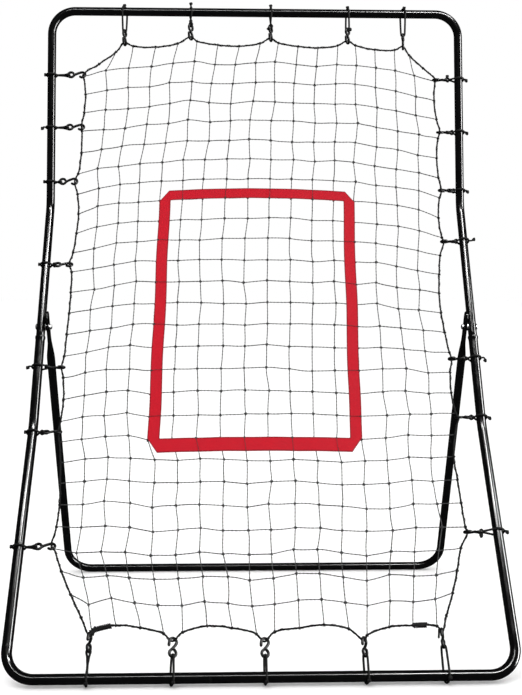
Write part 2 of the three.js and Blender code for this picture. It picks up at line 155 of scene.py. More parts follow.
# The first and last runs carry on past the frame, so that places beyond it still have a direction.
BEYOND = 100
KNEES = np.cumsum([0.0] + [length for length, _ in RUNS]) + [-BEYOND, 0, 0, BEYOND]
DIRECTIONS = np.array([(math.sin(lean), math.cos(lean)) for _, lean in RUNS])
KNEE_PLACES = np.cumsum(
    np.vstack([KNEES[0] * DIRECTIONS[0], np.diff(KNEES)[:, None] * DIRECTIONS]), axis=0
)


def profile(s, reach):
    """The side profile's y and z at s, with its two bends rounded over `reach` each way."""
    s = np.asarray(s, float)
    place = np.stack([np.interp(s, KNEES, KNEE_PLACES[:, axis]) for axis in (0, 1)], -1)
    for knee, change in zip(KNEES[1:-1], np.diff(DIRECTIONS, axis=0)):
        inside = np.maximum(reach - np.abs(s - knee), 0)
        place = place + (inside**2 / (4 * reach))[..., None] * change
    return place


PIVOT = np.array(frame["joints"][0]["pos_m"]) / METRES
SHIFT = PIVOT[1:] - profile(PIVOT_S, TUBE_BEND)


def surface_up(s, reach):
    """Unit direction up the profile, in space."""
    step = profile(np.asarray(s) + 0.5, reach) - profile(np.asarray(s) - 0.5, reach)
    step = step / np.linalg.norm(step, axis=-1, keepdims=True)
    return np.concatenate([np.zeros(step.shape[:-1] + (1,)), step], -1)


def surface_out(s, reach):
    """Unit direction off the surface, towards the thrower."""
    up = surface_up(s, reach)
    return np.stack([np.zeros(up.shape[:-1]), -up[..., 2], up[..., 1]], -1)


def in_space(x, s, lift=0.0, reach=NET_BEND):
    x, s, lift = np.broadcast_arrays(np.asarray(x, float), s, lift)
    flat = np.concatenate([x[..., None], profile(s, reach) + SHIFT], -1)
    return flat + lift[..., None] * surface_out(s, reach)


def smooth_step(value, low, high):
    t = np.clip((np.asarray(value, float) - low) / (high - low), 0, 1)
    return t * t * (3 - 2 * t)


def unit(vectors):
    return vectors / np.linalg.norm(vectors, axis=-1, keepdims=True)


# ---------------------------------------------------------------- meshes


class Shape:
    """Quads gathered into one mesh, with the distance round and along each sweep as UVs."""

    def __init__(self):
        self.points, self.quads, self.uvs, self.count = [], [], [], 0

    def add(self, points, quads, uvs):
        self.points.append(points.reshape(-1, 3))
        self.quads.append(quads + self.count)
        self.uvs.append(uvs)
        self.count += len(self.points[-1])

    def add_rings(self, rings, closed=False, caps=True, along=None):
        """Joins rings of points, an array of stations by sides by 3, into a tube."""
        stations, sides = rings.shape[:2]
        if along is None:
            middles = rings.mean(1)
            along = np.concatenate([[0], np.cumsum(np.linalg.norm(np.diff(middles, axis=0), axis=1))])
            along = np.append(along, along[-1] + np.linalg.norm(middles[0] - middles[-1]))
        spans = stations if closed else stations - 1
        i, j = np.meshgrid(np.arange(spans), np.arange(sides), indexing="ij")
        after, beside = (i + 1) % stations, (j + 1) % sides
        corners = [i * sides + j, i * sides + beside, after * sides + beside, after * sides + j]
        quads = np.stack(corners, -1).reshape(-1, 4)
        u, v0, v1 = j / sides, along[i], along[i + 1]
        turn = 1 / sides
        uvs = np.stack([u, v0, u + turn, v0, u + turn, v1, u, v1], -1).reshape(-1, 4, 2)
        if caps and not closed:
            k = np.arange(sides // 2 - 1)
            cap = np.stack([sides - 1 - k, sides - 2 - k, k + 1, k], -1)
            last = (stations - 1) * sides
            quads = np.concatenate([quads, cap, cap[:, ::-1] + last])
            uvs = np.concatenate([uvs, np.zeros((2 * len(k), 4, 2))])
        self.add(rings, quads, uvs)

    def finish(self, name, body, finish, sharp=40):
        points = np.concatenate(self.points) * METRES
        quads = np.concatenate(self.quads)
        mesh = bpy.data.meshes.new(name)
        mesh.from_pydata(points.tolist(), [], quads.tolist())
        layer = mesh.uv_layers.new(name="weave")
        layer.data.foreach_set("uv", np.concatenate(self.uvs).astype(np.float32).ravel())
        mesh.polygons.foreach_set("use_smooth", np.ones(len(quads), bool))
        mesh.materials.append(finish)
        mesh.update()
        mesh.set_sharp_from_angle(angle=math.radians(sharp))
        piece = bpy.data.objects.new(name, mesh)
        bpy.context.scene.collection.objects.link(piece)
        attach(piece, body)
        return piece


def directions(points, closed=False):
    ahead, behind = np.roll(points, -1, 0), np.roll(points, 1, 0)
    if not closed:
        ahead[-1], behind[0] = points[-1], points[0]
    return unit(ahead - behind)


def carried_frames(points, closed=False):
    """Two directions across the path at each point, carried along it without twist."""
    along = directions(points, closed)
    start = np.eye(3)[np.argmin(np.abs(along[0]))]
    side = [unit(np.cross(along[0], start))]
    for tangent in along[1:]:
        side.append(unit(side[-1] - tangent * (side[-1] @ tangent)))
    side = np.array(side)
    if closed:
        turned = unit(side[-1] - along[0] * (side[-1] @ along[0]))
        angle = math.atan2(np.cross(turned, side[0]) @ along[0], turned @ side[0])
        share = angle * np.arange(len(points))[:, None] / len(points)
        side = side * np.cos(share) + np.cross(along, side) * np.sin(share)
    return side, np.cross(along, side)


def section(sides, power=2.0, turn=0.0):
    """A unit circle, or with a higher power a rounder square, as cosines and sines."""
    angle = turn + 2 * math.pi * np.arange(sides) / sides
    cos, sin = np.cos(angle), np.sin(angle)
    size = (np.abs(cos) ** power + np.abs(sin) ** power) ** (-1 / power)
    return size * cos, size * sin


def rings_round(points, side, across, half_side, half_across, sides, power=2.0):
    """Rings about the points. The power is one number, or one for each point."""
    cos, sin = np.array([section(sides, p) for p in np.atleast_1d(power)]).transpose(1, 0, 2)
    half_side = np.broadcast_to(half_side, len(points))[:, None]
    half_across = np.broadcast_to(half_across, len(points))[:, None]
    beside = (half_side * cos)[..., None] * side[:, None]
    return points[:, None] + beside + (half_across * sin)[..., None] * across[:, None]


def rounded_ends(points, radius, steps=3):
    """A path and its radii with a half-round added at both ends."""
    along = directions(points)
    angle = np.linspace(0, math.pi / 2, steps + 1)[:-1]
    first = points[0] - along[0] * radius * np.cos(angle)[:, None]
    last = points[-1] + along[-1] * radius * np.cos(angle)[::-1, None]
    sizes = np.maximum(np.sin(angle), 0.12) * radius
    radii = np.concatenate([sizes, np.full(len(points), radius), sizes[::-1]])
    return np.concatenate([first, points, last]), radii


def spline(controls, step, closed=False):
    """A smooth curve through the control points, with points about `step` apart."""
    controls = np.asarray(controls, float)
    if closed:
        padded = np.concatenate([controls[-1:], controls, controls[:2]])
    else:
        before, after = 2 * controls[:1] - controls[1:2], 2 * controls[-1:] - controls[-2:-1]
        padded = np.concatenate([before, controls, after])
    found = []
    for p0, p1, p2, p3 in zip(padded, padded[1:], padded[2:], padded[3:]):
        gaps = [max(np.linalg.norm(b - a), 1e-6) ** 0.5 for a, b in ((p0, p1), (p1, p2), (p2, p3))]
        start = (p1 - p0) / gaps[0] - (p2 - p0) / (gaps[0] + gaps[1]) + (p2 - p1) / gaps[1]
        end = (p2 - p1) / gaps[1] - (p3 - p1) / (gaps[1] + gaps[2]) + (p3 - p2) / gaps[2]
        start, end = start * gaps[1], end * gaps[1]
        n = max(2, int(round(np.linalg.norm(p2 - p1) / step)))
        t = (np.arange(n) / n)[:, None]
        found.append(
            (2 * t**3 - 3 * t**2 + 1) * p1
            + (t**3 - 2 * t**2 + t) * start
            + (3 * t**2 - 2 * t**3) * p2
            + (t**3 - t**2) * end
        )
    if not closed:
        found.append(controls[-1:])
    return np.concatenate(found)


def add_cord(shape, path, radius, sides=8, steps=3):
    """A round cord with half-round ends."""
    path, radii = rounded_ends(path, radius, steps)
    side, across = carried_frames(path)
    shape.add_rings(rings_round(path, side, across, radii, radii, sides))


def add_loop(shape, path, radius, sides=6):
    """A round cord that closes on itself."""
    side, across = carried_frames(path, closed=True)
    shape.add_rings(rings_round(path, side, across, radius, radius, sides), closed=True)


# ---------------------------------------------------------------- materials


class Nodes:
    """A material's node tree, with inputs given as values or as other nodes' sockets."""

    def __init__(self, name, slot, **sockets):
        self.material = bpy.data.materials.new(name)
        self.material.use_nodes = True
        self.material["slot"] = slot
        self.tree = self.material.node_tree
        self.shader = self.tree.nodes["Principled BSDF"]
        self.fill(self.shader, sockets)

    def fill(self, node, inputs):
        for key, value in inputs.items():
            socket = node.inputs[key] if isinstance(key, int) else node.inputs[key.replace("_", " ")]
            if isinstance(value, bpy.types.NodeSocket):
                self.tree.links.new(value, socket)
            else:
                socket.default_value = value

    def done(self, **sockets):
        self.fill(self.shader, sockets)
        return self.material

    def add(self, kind, inputs=None, output=0, **settings):
        node = self.tree.nodes.new(kind)
        for key, value in settings.items():
            setattr(node, key, value)
        self.fill(node, inputs or {})
        return node.outputs[output]

    def math(self, operation, a, b=0.0):
        return self.add("ShaderNodeMath", {0: a, 1: b}, operation=operation)

    def noise(self, scale, detail=2.0, stretch=(1, 1, 1)):
        place = self.add("ShaderNodeTexCoord", output="Object")
        place = self.add("ShaderNodeMapping", {"Vector": place, "Scale": stretch})
        inputs = {"Vector": place, "Scale": scale, "Detail": detail}
        return self.add("ShaderNodeTexNoise", inputs, output="Fac")

    def spread(self, value, low, high, start=0.3, end=0.7):
        inputs = {"Value": value, "From Min": start, "From Max": end, "To Min": low, "To Max": high}
        return self.add("ShaderNodeMapRange", inputs)

    def mix(self, share, first, second):
        plain = not isinstance(first, bpy.types.NodeSocket)
        inputs = {0: share, 6: (*first, 1) if plain else first, 7: (*second, 1)}
        return self.add("ShaderNodeMix", inputs, output=2, data_type="RGBA")

    def uv(self):
        """The distance round a sweep, from 0 to 1, and along it, in millimetres."""
        place = self.add("ShaderNodeUVMap", uv_map="weave")
        split = self.tree.nodes.new("ShaderNodeSeparateXYZ")
        self.tree.links.new(place, split.inputs[0])
        return split.outputs[0], split.outputs[1]

    def wave(self, round_it, along, turns, per_mm):
        """A sine of a slanted line count: `turns` lines round the sweep, `per_mm` along it."""
        beside, ahead = self.math("MULTIPLY", round_it, turns), self.math("MULTIPLY", along, per_mm)
        lines = self.math("ADD", beside, ahead)
        return self.math("SINE", self.math("MULTIPLY", lines, 2 * math.pi))

    def bump(self, height, strength, distance, under=None):
        inputs = {"Height": height, "Strength": strength, "Distance": distance}
        if under is not None:
            inputs["Normal"] = under
        return self.add("ShaderNodeBump", inputs)


def black_paint():
    """Gloss powder coat: a slight orange peel, patches of duller gloss, and fine pale scuffs."""
    made = Nodes("black_tube_paint", "black_tube_paint", Roughness=0.2, Specular_IOR_Level=0.2)
    scuff = made.noise(60, 6, (1, 1, 0.25))
    scuff = made.spread(scuff, 0.0, 1.0, 0.66, 0.74)
    speck = made.math("MULTIPLY", scuff, made.spread(made.noise(700, 2), 0, 0.6, 0.5, 0.6))
    colour = made.mix(made.noise(9, 2), (0.0014, 0.0014, 0.0016), (0.0034, 0.0034, 0.0036))
    colour = made.mix(speck, colour, (0.03, 0.03, 0.029))
    dull = made.spread(made.noise(25, 3), 0.1, 0.2)
    rough = made.math("ADD", dull, made.math("MULTIPLY", speck, 0.3))
    peel = made.bump(made.noise(650, 1), 0.1, 0.0001)
    return made.done(Base_Color=colour, Roughness=rough, Normal=peel)


def zinc():
    """Bright zinc plate on pressed steel, a little cloudy."""
    made = Nodes("zinc_fastener", "zinc_fastener", Metallic=1.0, Roughness=0.3)
    colour = made.mix(made.noise(180, 3), (0.3, 0.31, 0.32), (0.5, 0.5, 0.49))
    rough = made.spread(made.noise(320, 3), 0.22, 0.42)
    lines = made.bump(made.noise(900, 2), 0.2, 0.00005)
    return made.done(Base_Color=colour, Roughness=rough, Normal=lines)


def hook_wire():
    """Black lacquer on drawn wire, thin enough to show fine draw lines."""
    made = Nodes("hook_wire", "hook_wire", Roughness=0.3, Specular_IOR_Level=0.1)
    round_it, along = made.uv()
    lines = made.wave(round_it, along, 9.0, 0.01)
    colour = made.mix(made.noise(200, 3), (0.002, 0.002, 0.0022), (0.006, 0.006, 0.0062))
    rough = made.spread(made.noise(400, 2), 0.2, 0.42)
    bump = made.bump(lines, 0.08, 0.00005, made.bump(made.noise(1200, 1), 0.2, 0.00005))
    return made.done(Base_Color=colour, Roughness=rough, Normal=bump)


def elastic_braid():
    """The braided black sleeve of shock cord: two sets of yarns that cross."""
    made = Nodes("elastic_cord", "elastic_cord", Roughness=0.7, Specular_IOR_Level=0.1)
    round_it, along = made.uv()
    one = made.wave(round_it, along, 6.0, 0.55)
    two = made.wave(round_it, along, 6.0, -0.55)
    braid = made.math("MAXIMUM", one, two)
    # Painted shade: the braid's grooves are painted darker and its crossing yarns lighter, by the same
    # height that drives its bump.
    colour = made.mix(made.spread(braid, 0, 1, -0.2, 1), (0.001, 0.001, 0.001), (0.005, 0.005, 0.0053))
    rough = made.spread(made.noise(900, 2), 0.6, 0.85)
    bump = made.bump(braid, 0.6, 0.0002)
    return made.done(Base_Color=colour, Roughness=rough, Normal=bump)


def rope_fibre():
    """Black multifilament yarn, laid at a slant in each strand, with a few paler fibres."""
    made = Nodes("border_rope", "border_rope", Roughness=0.75, Specular_IOR_Level=0.1)
    round_it, along = made.uv()
    yarns = made.wave(round_it, along, 5.0, 0.35)
    # Painted shade: the grooves between the yarns are painted darker and their crests lighter, by the
    # same wave that drives the bump.
    colour = made.mix(made.spread(yarns, 0, 1, -1, 1), (0.0015, 0.0015, 0.0017), (0.006, 0.006, 0.0063))
    stray = made.spread(made.noise(1500, 3), 0, 1, 0.62, 0.7)
    colour = made.mix(stray, colour, (0.03, 0.03, 0.03))
    bump = made.bump(yarns, 0.5, 0.00025)
    return made.done(Base_Color=colour, Normal=bump)


def net_twine():
    """Dark grey twisted nylon twine, a little dusty and uneven in tone."""
    made = Nodes("net_twine", "net_twine", Roughness=0.7, Specular_IOR_Level=0.15)
    round_it, along = made.uv()
    plies = made.wave(round_it, along, 2.0, 0.4)
    # Painted shade: the grooves between the two plies are painted darker and their crests lighter, by the
    # same wave that drives the bump.
    colour = made.mix(made.spread(plies, 0, 1, -1, 1), (0.012, 0.012, 0.013), (0.04, 0.041, 0.043))
    dust = made.spread(made.noise(14, 3), 0, 0.4)
    colour = made.mix(dust, colour, (0.06, 0.06, 0.059))
    bump = made.bump(plies, 0.6, 0.0002)
    return made.done(Base_Color=colour, Normal=bump)


def red_webbing():
    """Red polyester webbing: a fine twill, with a darker, tighter woven edge on both sides."""
    made = Nodes("red_webbing", "red_webbing", Roughness=0.62, Specular_IOR_Level=0.04)
    across, along = made.uv()
    from_edge = made.math("MINIMUM", across, made.math("SUBTRACT", 1.0, across))
    edge = made.spread(from_edge, 1, 0, 0.06, 0.12)
    ribs = made.wave(across, along, 22.0, 0.5)
    picks = made.wave(across, along, -11.0, 0.9)
    twill = made.math("MULTIPLY", made.math("ADD", ribs, picks), 0.5)
    # Painted shade: the twill's grooves are painted darker and its ridges lighter, by the same height
    # that drives its bump.
    painted_twill_shade = made.spread(twill, 0, 1, -1, 1)
    colour = made.mix(painted_twill_shade, (0.43, 0.003, 0.0115), (0.56, 0.0058, 0.0185))
    tone = made.spread(made.noise(30, 3), 0, 0.5)
    colour = made.mix(tone, colour, (0.43, 0.0048, 0.0175))
    colour = made.mix(edge, colour, (0.26, 0.003, 0.011))
    rough = made.spread(made.noise(500, 2), 0.52, 0.75)
    bump = made.bump(twill, 0.45, 0.00025)
    return made.done(Base_Color=colour, Roughness=rough, Normal=bump)


def red_thread():
    """Twisted sewing thread, darker than the webbing."""
    made = Nodes("red_thread", "red_webbing", Roughness=0.5, Specular_IOR_Level=0.3)
    round_it, along = made.uv()
    plies = made.wave(round_it, along, 2.0, 1.1)
    # Painted shade: the grooves between the plies are painted darker and their crests lighter, by the
    # same wave that drives the bump.
    colour = made.mix(made.spread(plies, 0, 1, -1, 1), (0.2, 0.003, 0.009), (0.36, 0.006, 0.016))
    return made.done(Base_Color=colour, Normal=made.bump(plies, 0.5, 0.0001))


def black_cap():
    """Moulded black plastic with a faint grain."""
    made = Nodes("black_cap", "black_tube_paint", Roughness=0.3)
    colour = made.mix(made.noise(90, 2), (0.008, 0.008, 0.008), (0.016, 0.016, 0.016))
    rough = made.spread(made.noise(200, 2), 0.16, 0.3)
    grain = made.bump(made.noise(1500, 1), 0.15, 0.0001)
    return made.done(Base_Color=colour, Roughness=rough, Normal=grain)


PAINT = black_paint()
ZINC = zinc()
WIRE = hook_wire()
ELASTIC = elastic_braid()
ROPE = rope_fibre()
TWINE = net_twine()
WEBBING = red_webbing()
THREAD = red_thread()
CAP = black_cap()

# ---------------------------------------------------------------- frame tubes

TUBE_SIDES = 32
# How far before a corner the last station of a straight run is
BEFORE_CORNER = 4


def quarter(x, s, start, end, steps=14):
    """Flat places round a quarter circle of CORNER_RADIUS, from angle start to end in degrees."""
    angle = np.radians(np.linspace(start, end, steps + 1))
    return np.stack([x + CORNER_RADIUS * np.cos(angle), s + CORNER_RADIUS * np.sin(angle)], 1)


def mirrored(half):
    """Half of a U, and then its mirror image run back the other way."""
    return np.concatenate([half, (half * [-1, 1])[::-1]])


def side_heights(start, end):
    """Heights for stations along a side tube, close together at the bends."""
    bends = [knee + offset for knee in KNEES[1:-1] for offset in np.linspace(-TUBE_BEND, TUBE_BEND, 9)]
    plain = np.linspace(start, end, 9)
    inside = [s for s in bends if min(start, end) < s < max(start, end)]
    heights = np.array(sorted([*plain, *inside]))
    return heights if end > start else heights[::-1]


def tube_rings(flat, radii):
    x, s = flat[:, 0], flat[:, 1]
    centres = in_space(x, s, 0, TUBE_BEND)
    out = surface_out(s, TUBE_BEND)
    side = unit(np.cross(out, directions(centres)))
    return rings_round(centres, side, out, radii, radii, TUBE_SIDES)


def bent_tube(name, mouth, heights, corner, radius, bore):
    """Half of a U of tube and its mirror image. One side runs through its mouth, given as pairs of s
    and radius, then up or down the heights, and round the corner. Its wall closes at both mouths."""
    side_s = np.concatenate([[s for s, _ in mouth], heights])
    half = np.concatenate([np.stack([np.full(len(side_s), -SIDE_X), side_s], 1), corner])
    flat = mirrored(half)
    radii = np.concatenate([[r for _, r in mouth], np.full(len(half) - len(mouth), radius)])
    radii = np.concatenate([radii, radii[::-1]])
    outer, inner = tube_rings(flat, radii), tube_rings(flat, np.full(len(flat), bore))
    rings = np.concatenate([outer, inner[::-1]])
    shape = Shape()
    shape.add_rings(rings, closed=True, along=np.arange(len(rings) + 1) * 1.0)
    return shape.finish(name, "main_frame", PAINT)


def upper_frame():
    """Its ends are drawn down to go into the lower frame."""
    mouth = [
        (JOINT_S - INSERT_DEPTH, INSERT_RADIUS - 0.6),
        (JOINT_S - INSERT_DEPTH + 1.5, INSERT_RADIUS),
        (JOINT_S - 1, INSERT_RADIUS),
        (JOINT_S + 1, INSERT_RADIUS + 0.15),
        (JOINT_S + 3.5, UPPER_RADIUS),
    ]
    top = PROFILE_LENGTH - CORNER_RADIUS
    heights = side_heights(JOINT_S + 8, top - BEFORE_CORNER)
    corner = quarter(-SIDE_X + CORNER_RADIUS, top, 180, 90)
    return bent_tube("upper_frame_tube", mouth, heights, corner, UPPER_RADIUS, UPPER_BORE - 0.6)


def lower_frame():
    """Its mouths have a rolled bead that grips the upper frame's ends."""
    bead = [(0.0, 9.4), (0.4, 10.0), (1.4, 10.45), (3.0, 10.5), (5.0, 10.35), (6.5, 9.9)]
    mouth = [(JOINT_S - depth, radius) for depth, radius in [*bead, (8.0, LOWER_RADIUS)]]
    heights = side_heights(JOINT_S - 14, CORNER_RADIUS + BEFORE_CORNER)
    corner = quarter(-SIDE_X + CORNER_RADIUS, CORNER_RADIUS, 180, 270)
    return bent_tube("lower_frame_tube", mouth, heights, corner, LOWER_RADIUS, LOWER_BORE)


STAND_LEAN = math.acos((PIVOT[2] - FOOT_AXIS_Z) / STAND_LENGTH)
STAND_DOWN = np.array([0, math.sin(STAND_LEAN), -math.cos(STAND_LEAN)])
STAND_BACK = np.array([0, math.cos(STAND_LEAN), math.sin(STAND_LEAN)])


def rear_stand():
    """A U of round tube whose top ends are pressed flat and rounded off."""
    tip = TAB_ABOVE_PIVOT - TAB_HALF_WIDTH
    nose = np.linspace(0, math.pi / 2, 9)
    heads = -tip - TAB_HALF_WIDTH * np.cos(nose)
    heights = np.concatenate([heads, [-8, 8, TAB_END], np.linspace(TAB_END + 4, ROUND_FROM, 12)])
    straight = np.linspace(ROUND_FROM + 20, STAND_LENGTH - CORNER_RADIUS - BEFORE_CORNER, 6)
    heights = np.concatenate([heights, straight])
    flat = 1 - smooth_step(heights, TAB_END, ROUND_FROM)
    head = np.maximum(np.concatenate([np.sin(nose), np.ones(len(heights) - len(nose))]), 0.1)
    thin = STAND_RADIUS + (TAB_HALF_THICKNESS - STAND_RADIUS) * flat
    wide = (STAND_RADIUS + (TAB_HALF_WIDTH - STAND_RADIUS) * flat) * head
    thin = thin * (1 - 0.5 * (1 - head) ** 3)
    power = 2 + 2.5 * flat
    corner = quarter(-STAND_X + CORNER_RADIUS, STAND_LENGTH - CORNER_RADIUS, 180, 90)
    half = np.concatenate([np.stack([np.full(len(heights), -STAND_X), heights], 1), corner])
    more = np.ones(len(corner))
    thin, wide = np.concatenate([thin, STAND_RADIUS * more]), np.concatenate([wide, STAND_RADIUS * more])
    power = np.concatenate([power, 2 * more])
    flat_places = mirrored(half)
    thin, wide, power = (np.concatenate([v, v[::-1]]) for v in (thin, wide, power))
    base = np.array([0, PIVOT[1], PIVOT[2]])
    centres = base + flat_places[:, :1] * [1, 0, 0] + flat_places[:, 1:] * STAND_DOWN
    back = np.broadcast_to(STAND_BACK, centres.shape)
    side = unit(np.cross(back, directions(centres)))
    shape = Shape()
    shape.add_rings(rings_round(centres, side, back, thin, wide, TUBE_SIDES, power))
    return shape.finish("rear_stand_tube", "rear_stand", PAINT)


def turned(outline, side, sides=32, corners=None):
    """Rings about the pivot axis from pairs of distance from the middle and radius."""
    cos, sin = section(sides)
    if corners is not None:
        angle = 2 * math.pi * (np.arange(sides) + 0.5) / sides
        sector = math.pi / corners
        reach = math.cos(sector) / np.cos((angle % (2 * sector)) - sector)
        cos, sin = reach * np.cos(angle), reach * np.sin(angle)
    rings = []
    for distance, radius in outline:
        ring = np.stack([np.zeros(sides), radius * cos, radius * sin], 1)
        rings.append(ring + [side * distance, PIVOT[1], PIVOT[2]])
    rings = np.array(rings)
    return rings if side > 0 else rings[:, ::-1]


def pivot_fasteners(label, side):
    head_foot = SIDE_X + UPPER_RADIUS + 0.2
    dome = [(head_foot + 2.6 * math.sin(a), 6.2 * math.cos(a)) for a in np.linspace(0, 1.5, 8)]
    bolt = Shape()
    bolt.add_rings(turned([(425.5, 3.4), (426.0, 4.0), (head_foot - 0.5, 4.0)], side))
    bolt.add_rings(turned([(head_foot - 0.2, 6.2), *dome], side))
    piece = bolt.finish(f"pivot_bolt_dome_{label}", "main_frame", ZINC, 35)
    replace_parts(piece, f"pivot_bolt_{label}")

    tab_outside, tab_inside = STAND_X + TAB_HALF_THICKNESS, STAND_X - TAB_HALF_THICKNESS
    washer = Shape()
    inside, outside = tab_outside + 0.2, SIDE_X - UPPER_RADIUS - 0.1
    washer.add_rings(turned([(inside, 7.6), (inside + 0.3, 8), (outside - 0.3, 8), (outside, 7.6)], side))
    piece = washer.finish(f"pivot_spacer_{label}", "main_frame", ZINC, 35)
    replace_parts(piece, f"pivot_washer_{label}")

    face = tab_inside - 0.1
    nut = Shape()
    flange = [(face - 1.2, 5.6), (face - 1.1, 6.2), (face - 0.8, 6.7), (face - 0.2, 6.8), (face, 6.5)]
    nut.add_rings(turned(flange, side))
    hexagon = [(face - 4.4, 5.0), (face - 4.2, 5.4), (face - 3.8, 5.8), (face - 0.9, 5.8)]
    nut.add_rings(turned(hexagon, side, 48, corners=6))
    piece = nut.finish(f"pivot_flange_nut_{label}", "main_frame", ZINC, 35)
    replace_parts(piece, f"pivot_nut_{label}")
    end = face - 4.3
    cap = Shape()
    dome = [(end - 1.2 * math.sin(a), 4.2 * math.cos(a)) for a in np.linspace(1.45, 0, 7)]
    cap.add_rings(turned([*dome, (end + 0.6, 4.2)], side))
    cap.finish(f"pivot_nut_cap_{label}", "main_frame", CAP, 35)


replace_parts(upper_frame(), "upper_frame")
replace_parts(lower_frame(), "lower_frame")
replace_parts(rear_stand(), "rear_stand")
for label, side in (("left", -1), ("right", 1)):
    pivot_fasteners(label, side)

# ---------------------------------------------------------------- net, pulled tight


# How much nearer the tube the eyes of the left hooks are than in the CAD
LONGER_LEFT_HOOK = 5


class HookPoint:
    """Where a loop and its hook hang: an anchor on a tube's axis, and directions inward to the border
    rope, along the tube, and out towards the back."""

    def __init__(self, edge, number, x, s, turn, place):
        self.name, self.edge = f"{edge}_{number}", edge
        self.x, self.s, self.turn, self.place = x, s, math.radians(turn), place
        anchor = {
            "left": (-SIDE_X, s),
            "right": (SIDE_X, s),
            "top": (x, PROFILE_LENGTH),
            "bottom": (x, 0),
        }[edge]
        self.anchor = in_space(*anchor, 0, TUBE_BEND)
        reach = in_space(x, s) - self.anchor
        up = surface_up(anchor[1], TUBE_BEND)
        self.length = np.linalg.norm(reach)
        self.inward = reach / self.length
        self.along = up if edge in ("left", "right") else np.array([1.0, 0, 0])
        self.out = np.cross(up, [1, 0, 0])
        self.tube = UPPER_RADIUS if anchor[1] > JOINT_S else LOWER_RADIUS
        self.eye_wire = self.length - HOOK_REACH - (LONGER_LEFT_HOOK if edge == "left" else 0)
        self.slant = max(0.0, ROPE_TO_HOOK - self.turn)

    def at(self, inward, along, out):
        inward, along, out = (v[..., None] for v in np.broadcast_arrays(inward, along, out))
        return self.anchor + inward * self.inward + along * self.along + out * self.out


hook_points = [
    HookPoint(edge, i + 1, *row) for edge, rows in HOOKS.items() for i, row in enumerate(rows)
]

LAST_COLUMN, LAST_ROW = COLUMNS - 1, ROWS - 1
RING = 2 * (LAST_ROW + LAST_COLUMN)


def ring_place(edge, place):
    """A place along an edge as a count of meshes round the border, clockwise from the lower left."""
    return {
        "left": LAST_ROW - place,
        "top": LAST_ROW + place,
        "right": LAST_ROW + LAST_COLUMN + place,
        "bottom": 2 * LAST_ROW + LAST_COLUMN + (LAST_COLUMN - place),
    }[edge]


# How much longer the border rope is than straight, between two hooks, as the depth of its curve
SLACK = {"left": 0.018, "right": 0.035, "top": 0.11, "bottom": 0.18, "corner": 0.02}
ROPE_STIFFNESS = 60
TWINE_STRETCH = 0.94
TWINE_UNEVEN = 0.05
STEPS, STEP, DRAG = 6000, 0.12, 0.95
# Twine shorter than its rest length is slack and hardly pushes.
SLACK_PUSH = 0.05


def band_lean(s):
    """How far the band's edges stand to the right at s, as its top leans over that way."""
    middle, half = (BAND["top"] + BAND["bottom"]) / 2, (BAND["top"] - BAND["bottom"]) / 2
    return BAND_LEAN * (np.asarray(s) - middle) / half


def band_bow(x, strip):
    """How much higher the band's top or bottom strip is at x than at its ends."""
    middle, half = (BAND["left"] + BAND["right"]) / 2, (BAND["right"] - BAND["left"]) / 2
    return BAND_BOW[strip] * np.maximum(1 - ((np.asarray(x) - middle) / half) ** 2, 0)


